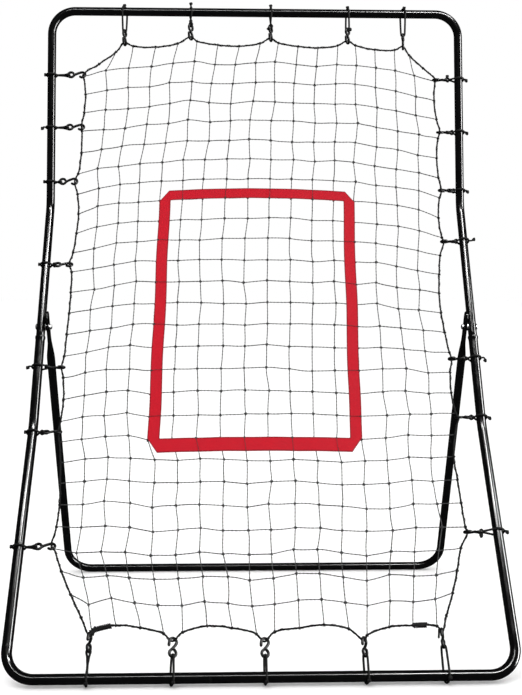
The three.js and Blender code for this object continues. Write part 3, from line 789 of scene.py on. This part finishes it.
def pulled_net():
    """Settles the net's knots between the hooks: twine that pulls along every mesh, and a rope round
    the border that hardly stretches. Returns the knots' places and the border's, in order."""
    knots = np.arange(ROWS * COLUMNS).reshape(ROWS, COLUMNS)
    border = np.concatenate([knots[:0:-1, 0], knots[0, :-1], knots[:-1, -1], knots[-1, :0:-1]])
    hooks = sorted(hook_points, key=lambda point: ring_place(point.edge, point.place))
    places = np.array([ring_place(point.edge, point.place) for point in hooks])
    held = np.array([(point.x, point.s) for point in hooks], float)

    # The start: the border straight between hooks, and each row straight between its ends.
    round_places = np.concatenate([[places[-1] - RING], places, [places[0] + RING]])
    round_held = np.concatenate([held[-1:], held, held[:1]])
    start = np.stack([np.interp(np.arange(RING), round_places, round_held[:, k]) for k in (0, 1)], 1)
    net = np.zeros((ROWS * COLUMNS, 2))
    net[border] = start
    net = net.reshape(ROWS, COLUMNS, 2)
    share = np.linspace(0, 1, COLUMNS)[:, None]
    for row in net[1:-1]:
        row[:] = row[0] + (row[-1] - row[0]) * share
    point = np.concatenate([net.reshape(-1, 2), held])

    # The rope's stretches, between neighbours round the border
    held_ones = [(place, ROWS * COLUMNS + k) for k, place in enumerate(places)]
    chain = sorted([*enumerate(border), *held_ones])
    order = np.array([k for _, k in chain])
    gaps = np.diff([p for p, _ in chain] + [chain[0][0] + RING])
    rope_length = np.zeros(len(chain))
    at_hooks = [i for i, k in enumerate(order) if k >= ROWS * COLUMNS]
    for first, second in zip(at_hooks, at_hooks[1:] + [at_hooks[0] + len(chain)]):
        a, b = hooks[order[first] - ROWS * COLUMNS], hooks[order[second % len(chain)] - ROWS * COLUMNS]
        kind = "corner" if a.edge != b.edge else a.edge
        slack = SLACK[kind] if "bottom" not in (a.edge, b.edge) or kind != "corner" else 0.0
        span = np.arange(first, second) % len(chain)
        length = math.hypot(a.x - b.x, a.s - b.s) * (1 + 8 / 3 * slack**2)
        rope_length[span] = length * gaps[span] / gaps[span].sum()

    across = np.stack([knots[1:-1, :-1].ravel(), knots[1:-1, 1:].ravel()], 1)
    down = np.stack([knots[:-1, 1:-1].ravel(), knots[1:, 1:-1].ravel()], 1)
    heights = np.where(down[:, 0] // COLUMNS < SHORT_ROWS, *MESH_HEIGHTS)
    twine_length = np.concatenate([np.full(len(across), MESH_WIDTH), heights]) * TWINE_STRETCH
    twine_length *= 1 + TWINE_UNEVEN * rng.standard_normal(len(twine_length))

    first = np.concatenate([across[:, 0], down[:, 0], order])
    second = np.concatenate([across[:, 1], down[:, 1], np.roll(order, -1)])
    rest = np.concatenate([twine_length, rope_length])
    stiff = np.concatenate([np.ones(len(twine_length)), np.full(len(order), ROPE_STIFFNESS)])

    # The knots along the band's edges are held by it.
    (c0, c1), (r0, r1) = BAND_COLUMNS, BAND_ROWS
    speed = np.zeros_like(point)
    for _ in range(STEPS):
        apart = point[second] - point[first]
        length = np.hypot(*apart.T)
        pull = stiff * (length - rest) / length
        pull[length < rest] *= SLACK_PUSH
        force = pull[:, None] * apart
        total = np.zeros_like(point)
        for axis in (0, 1):
            total[:, axis] += np.bincount(first, force[:, axis], len(point))
            total[:, axis] -= np.bincount(second, force[:, axis], len(point))
        speed = (speed + total * STEP) * DRAG
        speed[ROWS * COLUMNS :] = 0
        point = point + speed * STEP
        for column, edge, inside in ((c0, "left", INSIDE_EDGE), (c1, "right", -INSIDE_EDGE)):
            line = knots[r0 : r1 + 1, column]
            point[line, 0] = BAND[edge] + inside + band_lean(point[line, 1])
        for row, edge, inside in ((r0, "top", -1), (r1, "bottom", 1)):
            line = knots[row, c0 : c1 + 1]
            edge_s = BAND[edge] + inside * (BAND_WIDTH[edge] - INSIDE_EDGE)
            point[line, 1] = edge_s + band_bow(point[line, 0], edge)
    return point[: ROWS * COLUMNS].reshape(ROWS, COLUMNS, 2), point[order], order


net, border_places, border_order = pulled_net()

# ---------------------------------------------------------------- band: shape and weave


def nearest_index(value, line):
    """A fractional index into a rising or falling line of places."""
    order = np.argsort(line)
    return np.interp(value, np.asarray(line)[order], np.arange(len(line))[order])


def over_strip(value, centre, half):
    return smooth_step(-np.abs(value - centre), -half - 4, -half + 5)


def twine_lift(x, s, row=None, column=None):
    """How far a row or column of twine stands in front of the net's surface, to pass the band. Lines
    of twine that run along an edge of the band lie just behind it."""
    (c0, c1), (r0, r1) = BAND_COLUMNS, BAND_ROWS
    lift = np.zeros(np.shape(x))
    if column is not None and c0 < column < c1:
        front = 1 if column % 2 else -1
        half = BAND_WIDTH["top"] / 2
        lift = lift + front * over_strip(s, BAND["top"] - half + band_bow(x, "top"), half)
        half = BAND_WIDTH["bottom"] / 2
        lift = lift - front * over_strip(s, BAND["bottom"] + half + band_bow(x, "bottom"), half)
    if row is not None and r0 < row < r1:
        half = BAND_WIDTH["side"] / 2
        front = 1 if row % 2 == 0 else -1
        for centre in (BAND["left"] + half, BAND["right"] - half):
            lift = lift + front * over_strip(x, centre + band_lean(s), half)
    inside_x = smooth_step(x, BAND["left"] - 30, BAND["left"])
    inside_x = inside_x * smooth_step(-x, -BAND["right"] - 30, -BAND["right"])
    inside_s = smooth_step(s, BAND["bottom"] - 30, BAND["bottom"] + 10)
    inside_s = inside_s * smooth_step(-s, -BAND["top"] - 30, -BAND["top"])
    if column in BAND_COLUMNS:
        lift = lift - BAND_PULL * inside_s
    if row in BAND_ROWS:
        lift = lift - BAND_PULL * inside_x
    return WEAVE_CORD * lift


def band_lift(x, s):
    """The band's own gentle wave between the twine in front of it and behind it."""
    column = nearest_index(x, net[BAND_ROWS[0], :, 0])
    row = nearest_index(s, net[:, COLUMNS // 2, 1])
    middle = (BAND["top"] + BAND["bottom"]) / 2
    near_top = s > middle
    left_right = np.minimum(x - BAND["left"], BAND["right"] - x)
    top_bottom = np.minimum(s - BAND["bottom"], BAND["top"] - s)
    on_side = smooth_step(top_bottom, 40, 70)
    on_bar = smooth_step(left_right, 40, 70)
    bar = np.where(near_top, 1, -1) * np.cos(math.pi * column)
    return WEAVE_BAND * (on_bar * bar - on_side * np.cos(math.pi * row))


def band_outlines():
    """Matching outer and inner places round the band, as arrays of x and s."""
    left, right, bottom, top = (BAND[key] for key in ("left", "right", "bottom", "top"))
    side, fillet = BAND_WIDTH["side"], 1.5
    inner_left, inner_right = left + side, right - side
    low, high = bottom + BAND_WIDTH["bottom"], top - BAND_WIDTH["top"]
    outer, inner = [], []
    # Each corner of the hole, and which way out of it the band's corner is, anticlockwise
    for to_x, to_s in ((-1, -1), (1, -1), (1, 1), (-1, 1)):
        x, s = inner_right if to_x > 0 else inner_left, high if to_s > 0 else low
        strip = "top" if to_s > 0 else "bottom"
        centre = (x - to_x * fillet, s - to_s * fillet)
        wide, tall = side + fillet, BAND_WIDTH[strip] + fillet
        # The cut corner is the line p x + q s = 1, seen from the centre.
        ends = [(wide, tall - BAND_CUT[strip]), (wide - BAND_CUT["side"], tall)]
        (x0, s0), (x1, s1) = ends
        area = x0 * s1 - x1 * s0
        p, q = (s1 - s0) / area, (x0 - x1) / area
        edges = [math.atan2(max(s0, 0), x0), math.atan2(s1, x1)]
        angles = sorted({0.0, math.pi / 2, *np.linspace(edges[0], edges[1], 7)})
        pairs = []
        for angle in angles:
            cos, sin = math.cos(angle), math.sin(angle)
            reach = min(wide / max(cos, 1e-9), tall / max(sin, 1e-9), 1 / max(p * cos + q * sin, 1e-9))
            rims = [(centre[0] + to_x * r * cos, centre[1] + to_s * r * sin) for r in (reach, fillet)]
            pairs.append(rims)
        # Round each corner the same way, anticlockwise from the lower left.
        if to_x * to_s < 0:
            pairs = pairs[::-1]
        if outer:
            extend_straight(outer, inner, pairs[0])
        outer.extend(pair[0] for pair in pairs)
        inner.extend(pair[1] for pair in pairs)
    extend_straight(outer, inner, (outer[0], inner[0]))
    return np.array(outer), np.array(inner)


def extend_straight(outer, inner, target):
    """Adds places about 4 mm apart on the way to the target pair."""
    a, b = np.array(outer[-1]), np.array(target[0])
    c, d = np.array(inner[-1]), np.array(target[1])
    count = int(np.linalg.norm(d - c) / 4)
    for t in np.arange(1, count) / count:
        outer.append(tuple(a + (b - a) * t))
        inner.append(tuple(c + (d - c) * t))


# The stitching runs along the second line of points in from each edge.
STITCHED_LINES = (1, 11)
STITCH_PITCH = 4.2


def strike_zone_band():
    """The webbing as one closed sweep, woven over and under the net."""
    outer, inner = band_outlines()
    across = np.array([0, 0.03, 0.08, 0.12, 0.2, 0.35, 0.5, 0.65, 0.8, 0.88, 0.92, 0.97, 1.0])
    # Thicker along the two woven edges, and pinched to a thin line at the very rim
    profile_half = np.array([0.3, 0.8, 1.0, 0.9, 0.82, 0.8, 0.8, 0.8, 0.82, 0.9, 1.0, 0.8, 0.3])
    flat = outer[:, None] + (inner - outer)[:, None] * across[None, :, None]
    wander = BAND_WANDER * np.sin(flat[..., 1] / 37)
    wander = wander * smooth_step(flat[..., 1], BAND["bottom"], BAND["bottom"] + 125)
    flat[..., 0] += band_lean(flat[..., 1]) + wander
    near_top = smooth_step(flat[..., 1], BAND["top"] - 130, BAND["top"] - 25)
    near_bottom = smooth_step(-flat[..., 1], -BAND["bottom"] - 130, -BAND["bottom"] - 35)
    bow = [band_bow(flat[..., 0], strip) for strip in ("top", "bottom")]
    flat[..., 1] += near_top * bow[0] + near_bottom * bow[1]
    x, s = flat[..., 0], flat[..., 1]
    lift = band_lift(x, s) + 0.12 * np.sin(x / 9.0 + s / 13.0)
    half = profile_half * BAND_THICKNESS / 2
    front, back = in_space(x, s, lift + half), in_space(x, s, lift - half)
    rings = np.concatenate([front, back[:, ::-1]], 1)
    middle = (outer + inner) / 2
    along = np.concatenate([[0], np.cumsum(np.linalg.norm(np.diff(middle, axis=0), axis=1))])
    along = np.append(along, along[-1] + np.linalg.norm(middle[0] - middle[-1]))
    shape = Shape()
    stations, sides = rings.shape[:2]
    shape.add_rings(rings, closed=True, along=along)
    u = np.concatenate([across, across[::-1]])
    uvs = shape.uvs[0].reshape(stations, sides, 4, 2)
    following = np.roll(u, -1)
    uvs[..., 0, 0], uvs[..., 3, 0] = u, u
    uvs[..., 1, 0], uvs[..., 2, 0] = following, following
    piece = shape.finish("strike_zone_webbing", "main_frame", WEBBING, 60)
    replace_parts(piece, "strike_zone_band")
    return flat, lift


def band_stitches(flat, lift):
    """Two rows of lock stitch along the band's edges, on both faces."""
    shape = Shape()
    for index in STITCHED_LINES:
        line = np.vstack([flat[:, index], flat[:1, index]])
        height = np.append(lift[:, index], lift[0, index])
        travel = np.concatenate([[0], np.cumsum(np.linalg.norm(np.diff(line, axis=0), axis=1))])
        for face in (1, -1):
            shift = 0 if face > 0 else STITCH_PITCH / 2
            for start in np.arange(1.0, travel[-1] - 4, STITCH_PITCH):
                t = start + shift + np.array([0, 0.3, 1.5, 2.7, 3.0])
                x, s = np.interp(t, travel, line[:, 0]), np.interp(t, travel, line[:, 1])
                above = BAND_THICKNESS / 2 + np.array([-0.25, 0.02, 0.1, 0.02, -0.25])
                points = in_space(x, s, np.interp(t, travel, height) + face * above)
                out = surface_out(s, NET_BEND)
                side = unit(np.cross(out, directions(points)))
                shape.add_rings(rings_round(points, side, out, 0.24, 0.2, 4))
    shape.finish("strike_zone_stitching", "main_frame", THREAD, 80)


band_flat, band_lifts = strike_zone_band()
band_stitches(band_flat, band_lifts)

# ---------------------------------------------------------------- twine

TWIST_PITCH = 15


def twine_segment(shape, start, end, **line):
    """One side of a mesh: a slightly bowed, twisted length of two-ply twine from knot to knot."""
    span = np.asarray(end) - start
    length = np.linalg.norm(span)
    t = np.linspace(0, 1, max(6, int(length / 3)))
    across = np.array([-span[1], span[0]]) / length
    bow = rng.normal(0, 0.5) * np.sin(math.pi * t) + rng.normal(0, 0.22) * np.sin(2 * math.pi * t)
    x, s = np.asarray(start)[:, None] + span[:, None] * t + across[:, None] * bow
    sag = rng.normal(0, 0.35) * np.sin(math.pi * t)
    lift = twine_lift(x, s, **line)
    points = in_space(x, s, lift + sag)
    out = surface_out(s, NET_BEND)
    side = unit(np.cross(out, directions(points)))
    angle = rng.uniform(0, math.pi) + 2 * math.pi * t * length / TWIST_PITCH
    cos, sin = np.cos(angle)[:, None], np.sin(angle)[:, None]
    tight = 1 - TIGHT_OVER_BAND * np.clip(lift / WEAVE_CORD, 0, 1)
    wide, narrow = TWINE_RADIUS * 1.12 * tight, TWINE_RADIUS * 0.84 * tight
    shape.add_rings(rings_round(points, side * cos + out * sin, out * cos - side * sin, wide, narrow, 6))


def net_lines():
    """All the twine between the knots, as a piece of rows and a piece of columns."""
    rows, columns = Shape(), Shape()
    for row in range(1, LAST_ROW):
        for column in range(LAST_COLUMN):
            twine_segment(rows, net[row, column], net[row, column + 1], row=row)
    for column in range(1, LAST_COLUMN):
        for row in range(LAST_ROW):
            twine_segment(columns, net[row, column], net[row + 1, column], column=column)
    for shape, name in ((rows, "net_rows"), (columns, "net_columns")):
        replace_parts(shape.finish(name, "main_frame", TWINE, 80), "net")


def trefoil(steps):
    """A closed trefoil knot about 1 across, flat in its third direction."""
    t = np.linspace(0, 2 * math.pi, steps, endpoint=False)
    across, up = np.sin(t) + 2 * np.sin(2 * t), np.cos(t) - 2 * np.cos(2 * t)
    return np.stack([across, up, -1.2 * np.sin(3 * t)], 1) / 3.2


def net_knots():
    shape = Shape()
    form = trefoil(24)
    for row in range(1, LAST_ROW):
        for column in range(1, LAST_COLUMN):
            x, s = net[row, column]
            lift = twine_lift(x, s, row=row) + twine_lift(x, s, column=column)
            centre = in_space(x, s, lift)
            up, out = surface_up(s, NET_BEND), surface_out(s, NET_BEND)
            size = KNOT_RADIUS * rng.uniform(0.88, 1.12) - TWINE_RADIUS
            angle = rng.uniform(0, 2 * math.pi)
            a = math.cos(angle) * np.array([1, 0, 0]) + math.sin(angle) * up
            b = np.cross(out, a)
            points = centre + size * (form[:, :1] * a + form[:, 1:2] * b + form[:, 2:] * out)
            add_loop(shape, points, TWINE_RADIUS * 0.95)
    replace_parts(shape.finish("net_knots", "main_frame", TWINE, 80), "net")


net_lines()
net_knots()

# ---------------------------------------------------------------- border rope

# Pulled tight, the rope is a little thinner than its CAD solid.
ROPE_LOOK = 1.95
ROPE_STEP = 2.0
ROPE_LAY = 17
TAIL_RADIUS = 1.9
TAIL_LENGTH = 14


def rope_line():
    """The rope's dense path as x, s and lift: through every border knot and hook, slanting from back
    to front at the hooks that lie nearly in the net's plane."""
    flat = spline(border_places, ROPE_STEP, closed=True)
    x, s = flat.T
    lift = np.zeros(len(flat))
    for point in hook_points:
        sideways = point.edge in ("left", "right")
        ahead = (s - point.s) if sideways else (x - point.x)
        aside = (x - point.x) if sideways else (s - point.s)
        near = (1 - smooth_step(np.abs(ahead), 6, 20)) * (np.abs(aside) < 30)
        lift += math.tan(point.slant) * ahead * near
    travel = np.arange(len(flat)) * ROPE_STEP
    for size, length in ((0.35, 31.0), (0.2, 13.0)):
        phase = rng.uniform(0, 2 * math.pi)
        cycles = round(travel[-1] / length)
        lift += size * np.sin(phase + 2 * math.pi * cycles * np.arange(len(flat)) / len(flat))
    return x, s, lift


rope_x, rope_s, rope_lift = rope_line()
rope_points = in_space(rope_x, rope_s, rope_lift)
rope_out = surface_out(rope_s, NET_BEND)
rope_side = unit(np.cross(rope_out, directions(rope_points, closed=True)))
rope_out = np.cross(directions(rope_points, closed=True), rope_side)
rope_travel = np.concatenate(
    [[0], np.cumsum(np.linalg.norm(np.diff(np.vstack([rope_points, rope_points[:1]]), axis=0), axis=1))]
)


def round_rope(distance, angle, radius):
    """A point beside the rope, at a distance along it and an angle round it."""
    distance = np.asarray(distance) % rope_travel[-1]
    wrap = lambda values: np.stack(
        [np.interp(distance, rope_travel, np.append(values[:, k], values[0, k])) for k in range(3)], -1
    )
    side, out = unit(wrap(rope_side)), unit(wrap(rope_out))
    return wrap(rope_points) + radius * (np.cos(angle)[..., None] * side + np.sin(angle)[..., None] * out)


def border_rope():
    """Three strands laid into a rope."""
    shape = Shape()
    turns = round(rope_travel[-1] / ROPE_LAY)
    share = rope_travel[:-1] / rope_travel[-1]
    strand = ROPE_LOOK * 0.464
    for third in range(3):
        angle = 2 * math.pi * (turns * share + third / 3)
        across = np.cos(angle)[:, None] * rope_side + np.sin(angle)[:, None] * rope_out
        path = rope_points + (ROPE_LOOK - strand) * across
        add_loop(shape, path, strand * 1.06)
    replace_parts(shape.finish("border_rope_strands", "main_frame", ROPE, 80), "border_rope")


def coil(shape, middle, width, turns, radius, thickness, points_a_turn=14):
    """Turns of twine wound round the rope."""
    count = int(turns * points_a_turn)
    t = np.linspace(-0.5, 0.5, count)
    angle = rng.uniform(0, 2 * math.pi) + 2 * math.pi * turns * t
    points = round_rope(middle + width * t, angle, np.full(count, radius)[:, None])
    add_cord(shape, points, thickness, 6, steps=2)


def nearest_travel(x, s):
    return rope_travel[np.argmin(np.hypot(rope_x - x, rope_s - s))]


def border_bindings():
    """The twine that ties each border mesh to the rope, the loose edge line that winds round it, and
    the whipping where the rope's ends overlap."""
    shape = Shape()
    for x, s in border_places[border_order < ROWS * COLUMNS]:
        place = nearest_travel(x, s)
        coil(shape, place, rng.uniform(2.2, 3.4), rng.choice([1.5, 2.0]), ROPE_LOOK + 0.5, 0.8)
    count = int(rope_travel[-1] / 3.5)
    place = np.linspace(0, rope_travel[-1], count, endpoint=False)
    wander = 0.35 * np.sin(2 * math.pi * 37 * place / rope_travel[-1])
    angle = 2 * math.pi * 131 * place / rope_travel[-1] + 3 * wander
    points = round_rope(place, angle, (ROPE_LOOK + 0.25 + wander)[:, None])
    add_loop(shape, points, 0.5)
    shape.finish("border_bindings", "main_frame", ROPE, 80)


def rope_whipping():
    """Where the rope's two ends overlap it is bound with close turns of twine, and a short tail is left
    beside each binding."""
    shape = Shape()
    for x, s, width, turns in ((-289, 90, 40, 13), (283, 93, 24, 8)):
        middle = nearest_travel(x, s)
        coil(shape, middle, width, turns, ROPE_RADIUS + 1.5, 1.5, 12)
        overlap = np.linspace(middle - width * 0.6, middle + width * 0.6, 24)
        reach = np.linspace(3.2, 3.4, 24)[:, None]
        add_cord(shape, round_rope(overlap, np.full(24, math.pi / 2), reach), TAIL_RADIUS)
    for x, s in ((-297, 90), (315, 80)):
        t = np.linspace(0, 1, 8)
        tail = in_space(x - 2 * t, s - TAIL_LENGTH * t, 1 + 3 * t * (1 - t))
        add_cord(shape, tail, TAIL_RADIUS)
    shape.finish("border_rope_whipping", "main_frame", ROPE, 80)


border_rope()
border_bindings()
rope_whipping()

# ---------------------------------------------------------------- loops and hooks

# The wire and the cord are drawn thicker than their CAD solids, and the eye and the bend wider. On the
# sides the hooks are also LIFTED a little above the middle of their loops.
WIRE_LOOK = 2.7
CORD_LOOK = 2.1
EYE_LOOK = 6.2
BEND_RADIUS = 7.3
LIFTED = 1.8
KNOT_SIZE = 2.5

# How the loops are tied. A pinch is how far from the tube's axis the two strands come together, and
# halves is how many half turns they then make round each other. A spread is how far each strand
# stands along the tube. The knot's angle is from inward towards the back, and its stand is how far it
# is from the tube, on a bare end of cord that falls by its droop.
TIES = {
    "left": {"pinch": 13, "halves": 0, "spread": 1.0, "angle": 190, "stand": 0, "droop": 0},
    "right": {"pinch": 15, "halves": 1, "spread": 2.3, "angle": 190, "stand": 4, "droop": 3},
    "top": {"pinch": None, "halves": 0, "spread": 2.3, "angle": 186, "stand": 0, "droop": 0},
    "bottom": {"pinch": None, "halves": 0, "spread": 2.4, "angle": 225, "stand": 0, "droop": 0},
}
SPECIAL_TIES = {
    "left_2": {"stand": 6, "droop": 3},
    "left_5": {"pinch": 24, "spread": 2.3, "stand": 7, "droop": 3},
    "right_1": {"pinch": 21, "halves": 0},
    "right_4": {"stand": 9, "droop": -2},
    "right_5": {"stand": 7, "droop": 6},
    "right_7": {"pinch": 30, "halves": 0},
    "top_1": {"halves": 1, "spread": -4.2},
    "top_2": {"pinch": 16, "halves": 3, "stand": 5, "droop": 0},
    "top_3": {"pinch": 24, "halves": 0, "spread": 1.6, "stand": 2},
    "top_4": {"spread": 2.0},
    "top_5": {"spread": 3.8, "angle": 215},
    "bottom_1": {"pinch": 14, "spread": 0.6},
    "bottom_2": {"spread": 3.6},
    "bottom_3": {"spread": 1.8},
    "bottom_5": {"spread": 3.0, "angle": 240},
}
# Second knots, on the strands: how far inward, along and out they are
SIDE_KNOTS = {
    "right_1": (25, 7, -2),
    "right_7": (33, -9, -2),
    "top_3": (36, -5, -2),
    "top_4": (36, 6, -2),
}


def wire_hook(point):
    """One bent wire: an eye, a shank, and a hook."""
    cos, sin = math.cos(point.turn), math.sin(point.turn)
    sideways = point.edge in ("left", "right")

    def place(inward, across, aside=0.0):
        across = across + (LIFTED if sideways else 0.0)
        return point.at(inward, across * cos - aside * sin, across * sin + aside * cos)

    centre = point.eye_wire + EYE_LOOK
    angle = np.radians(np.arange(25, 336, 24))
    # The eye's two ends pass each other, so it climbs a little as it goes round.
    climb = 0.45 * (angle - math.pi)
    eye = place(centre + EYE_LOOK * np.cos(angle), EYE_LOOK * np.sin(angle), climb)
    shank = place(centre + EYE_LOOK + 2.5, 0)
    centre = point.length + ROPE_RADIUS + CLEARANCE + WIRE_LOOK - BEND_RADIUS
    bend = np.radians([90, 60, 30, 0, -30, -60, -90])
    curl = place(centre + BEND_RADIUS * np.cos(bend), BEND_RADIUS * np.sin(bend))
    tip = place(centre - 3.5, -5.6) if sideways else place(centre - 5.5, -BEND_RADIUS - 0.4)
    shape = Shape()
    add_cord(shape, spline(np.vstack([eye, shank, curl, tip]), 1.6), WIRE_LOOK, 12)
    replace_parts(shape.finish(f"hook_{point.name}", "main_frame", WIRE, 60), f"wire_hook_{point.name}")


def add_knot(shape, centre, a, b):
    """An overhand knot pulled tight, flat in the directions a and b."""
    form = trefoil(36)
    points = centre + KNOT_SIZE * (form[:, :1] * a + form[:, 1:2] * b + form[:, 2:] * np.cross(a, b))
    add_loop(shape, points, CORD_RADIUS, 8)


def elastic_loop(point):
    """Shock cord wound once round the tube and once through the hook's eye, tied in a knot."""
    tie = {**TIES[point.edge], **SPECIAL_TIES.get(point.name, {})}
    pinch, spread = tie["pinch"], tie["spread"]
    big = point.tube + CLEARANCE + CORD_RADIUS
    small = WIRE_RADIUS + CLEARANCE + CORD_RADIUS
    beside = CORD_RADIUS * 1.02
    if pinch:
        touch = math.acos(big / math.hypot(pinch, beside)) + math.atan2(beside, pinch)
    else:
        touch = math.acos((big - small) / point.eye_wire)
    angle = np.linspace(touch, 2 * math.pi - touch, 26)
    round_tube = point.at(big * np.cos(angle), -spread * np.sin(angle), big * np.sin(angle))

    def across(inward, reach, turn):
        return point.at(inward, -reach * np.sin(turn), reach * np.cos(turn))

    end_turn = point.turn + math.pi * tie["halves"]
    angle = np.linspace(-math.pi / 2, math.pi / 2, 7)
    round_eye = across(point.eye_wire + small * np.cos(angle), small * np.sin(angle), end_turn)
    strands = [round_tube, round_eye]
    if pinch:
        share = np.linspace(0, 1, 5 + 3 * tie["halves"])[:-1]
        inward = pinch + (point.eye_wire - 1.5 - pinch) * share
        reach = beside + (small - beside) * smooth_step(share, 0.75, 1)
        turn = end_turn * smooth_step(share, 0.1, 0.95)
        front, back = across(inward, -reach, turn), across(inward, reach, turn)
        strands = [round_tube, front, round_eye, back[::-1]]
    shape = Shape()
    add_loop(shape, spline(np.vstack(strands), 2.2, closed=True), CORD_LOOK, 10)

    angle = math.radians(tie["angle"])
    radial = math.cos(angle) * point.inward + math.sin(angle) * point.out
    tangent = -math.sin(angle) * point.inward + math.cos(angle) * point.out
    start = point.anchor + big * radial - spread * math.sin(angle) * point.along
    fall = np.array([0, 0, -1.0]) * tie["droop"]
    end = start + (2.0 + tie["stand"]) * radial + fall
    if tie["stand"] > 3:
        middle = start + (1.2 + 0.75 * tie["stand"]) * radial
        add_cord(shape, spline(np.array([start, middle, end]), 1.5), CORD_RADIUS * 0.95)
    add_knot(shape, end, point.along, radial)
    for lean in (-1, 1):
        stub = np.array([end, end + 1.5 * radial + lean * (1.8 * point.along + 1.6 * tangent)])
        add_cord(shape, spline(stub, 1.5), CORD_RADIUS * 0.85)
    if point.name in SIDE_KNOTS:
        inward, along, out = SIDE_KNOTS[point.name]
        centre = point.at(inward, along, out)
        line = [point.at(inward + 4, along * 0.2, 0), point.at(inward + 2, along * 0.6, out), centre]
        add_cord(shape, spline(line, 1.5), CORD_RADIUS * 0.9)
        add_knot(shape, centre, point.inward, point.along)
    name = f"elastic_{point.name}"
    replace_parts(shape.finish(name, "main_frame", ELASTIC, 80), f"elastic_loop_{point.name}")


for point in hook_points:
    wire_hook(point)
    elastic_loop(point)

# ---------------------------------------------------------------- floor, light and camera


def floor():
    """A white floor that takes shadows but isn't mirrored in the tubes."""
    size, drop = 12.0, 0.0004
    corners = [(x * size, y * size, -drop) for x, y in ((-1, -1), (1, -1), (1, 1), (-1, 1))]
    mesh = bpy.data.meshes.new("floor")
    mesh.from_pydata(corners, [], [(0, 1, 2, 3)])
    made = bpy.data.materials.new("floor")
    made.use_nodes = True
    looks = {
        "Base Color": (0.99, 0.99, 0.99, 1),
        "Roughness": 0.9,
        "Specular IOR Level": 0.1,
        "Emission Color": (1, 1, 1, 1),
        "Emission Strength": 0.05,
    }
    for socket, value in looks.items():
        made.node_tree.nodes["Principled BSDF"].inputs[socket].default_value = value
    mesh.materials.append(made)
    piece = bpy.data.objects.new("floor", mesh)
    bpy.context.scene.collection.objects.link(piece)
    piece.visible_glossy = False


def room_light():
    """An even white room for the camera and for matt surfaces, and a dark one for reflections."""
    world = bpy.data.worlds.new("room")
    bpy.context.scene.world = world
    world.use_nodes = True
    tree = world.node_tree
    tree.nodes.clear()
    path = tree.nodes.new("ShaderNodeLightPath")
    mix, output = tree.nodes.new("ShaderNodeMixShader"), tree.nodes.new("ShaderNodeOutputWorld")
    tree.links.new(path.outputs["Is Glossy Ray"], mix.inputs[0])
    for place, strength in ((1, 1.0), (2, 0.01)):
        room = tree.nodes.new("ShaderNodeBackground")
        room.inputs["Color"].default_value = (1, 1, 1, 1)
        room.inputs["Strength"].default_value = strength
        tree.links.new(room.outputs[0], mix.inputs[place])
    tree.links.new(mix.outputs[0], output.inputs["Surface"])


def area_light(name, place, target, size, power, reflections):
    lamp = bpy.data.lights.new(name, "AREA")
    lamp.shape = "RECTANGLE"
    lamp.size, lamp.size_y = size
    lamp.energy = power
    piece = bpy.data.objects.new(name, lamp)
    piece.location = place
    toward = Vector(target) - Vector(place)
    piece.rotation_euler = toward.to_track_quat("-Z", "Y").to_euler()
    bpy.context.scene.collection.objects.link(piece)
    piece.visible_camera = False
    piece.visible_diffuse, piece.visible_glossy = not reflections, reflections


# A tall strip on the right, one overhead and one in front draw the thin bright lines on the tubes.
area_light("strip_right", (3.2, -0.75, 1.0), (0, 0, 0.7), (0.62, 3.2), 560, True)
area_light("strip_over", (1.3, -1.3, 3.4), (0, 0, 0.6), (1.8, 0.25), 230, True)
area_light("strip_front", (0.1, -1.9, 3.6), (0, -0.3, 0), (2.6, 0.14), 130, True)
area_light("soft_over", (-0.6, -1.6, 3.6), (0, 0, 0.5), (2.6, 2.6), 45, False)
room_light()
floor()


def camera():
    """A long-lens view from the thrower's side, a little above the middle of the net."""
    place = (-0.054, -1.9707, 0.7576)
    pitch, yaw, roll = math.radians(5.81), math.radians(1.677), math.radians(0.134)
    ahead = Vector((math.sin(yaw) * math.cos(pitch), math.cos(yaw) * math.cos(pitch), -math.sin(pitch)))
    level = Vector((math.cos(yaw), -math.sin(yaw), 0))
    upright = level.cross(ahead)
    right = level * math.cos(roll) + upright * math.sin(roll)
    up = right.cross(ahead)
    lens = bpy.data.cameras.new("camera")
    lens.sensor_width = 36
    lens.lens = 36 * 1000 / 695
    piece = bpy.data.objects.new("camera", lens)
    turn = Matrix((right, up, -ahead)).transposed()
    piece.matrix_world = Matrix.Translation(place) @ turn.to_4x4()
    bpy.context.scene.collection.objects.link(piece)
    bpy.context.scene.camera = piece


camera()
bpy.context.scene.view_settings.view_transform = "Standard"
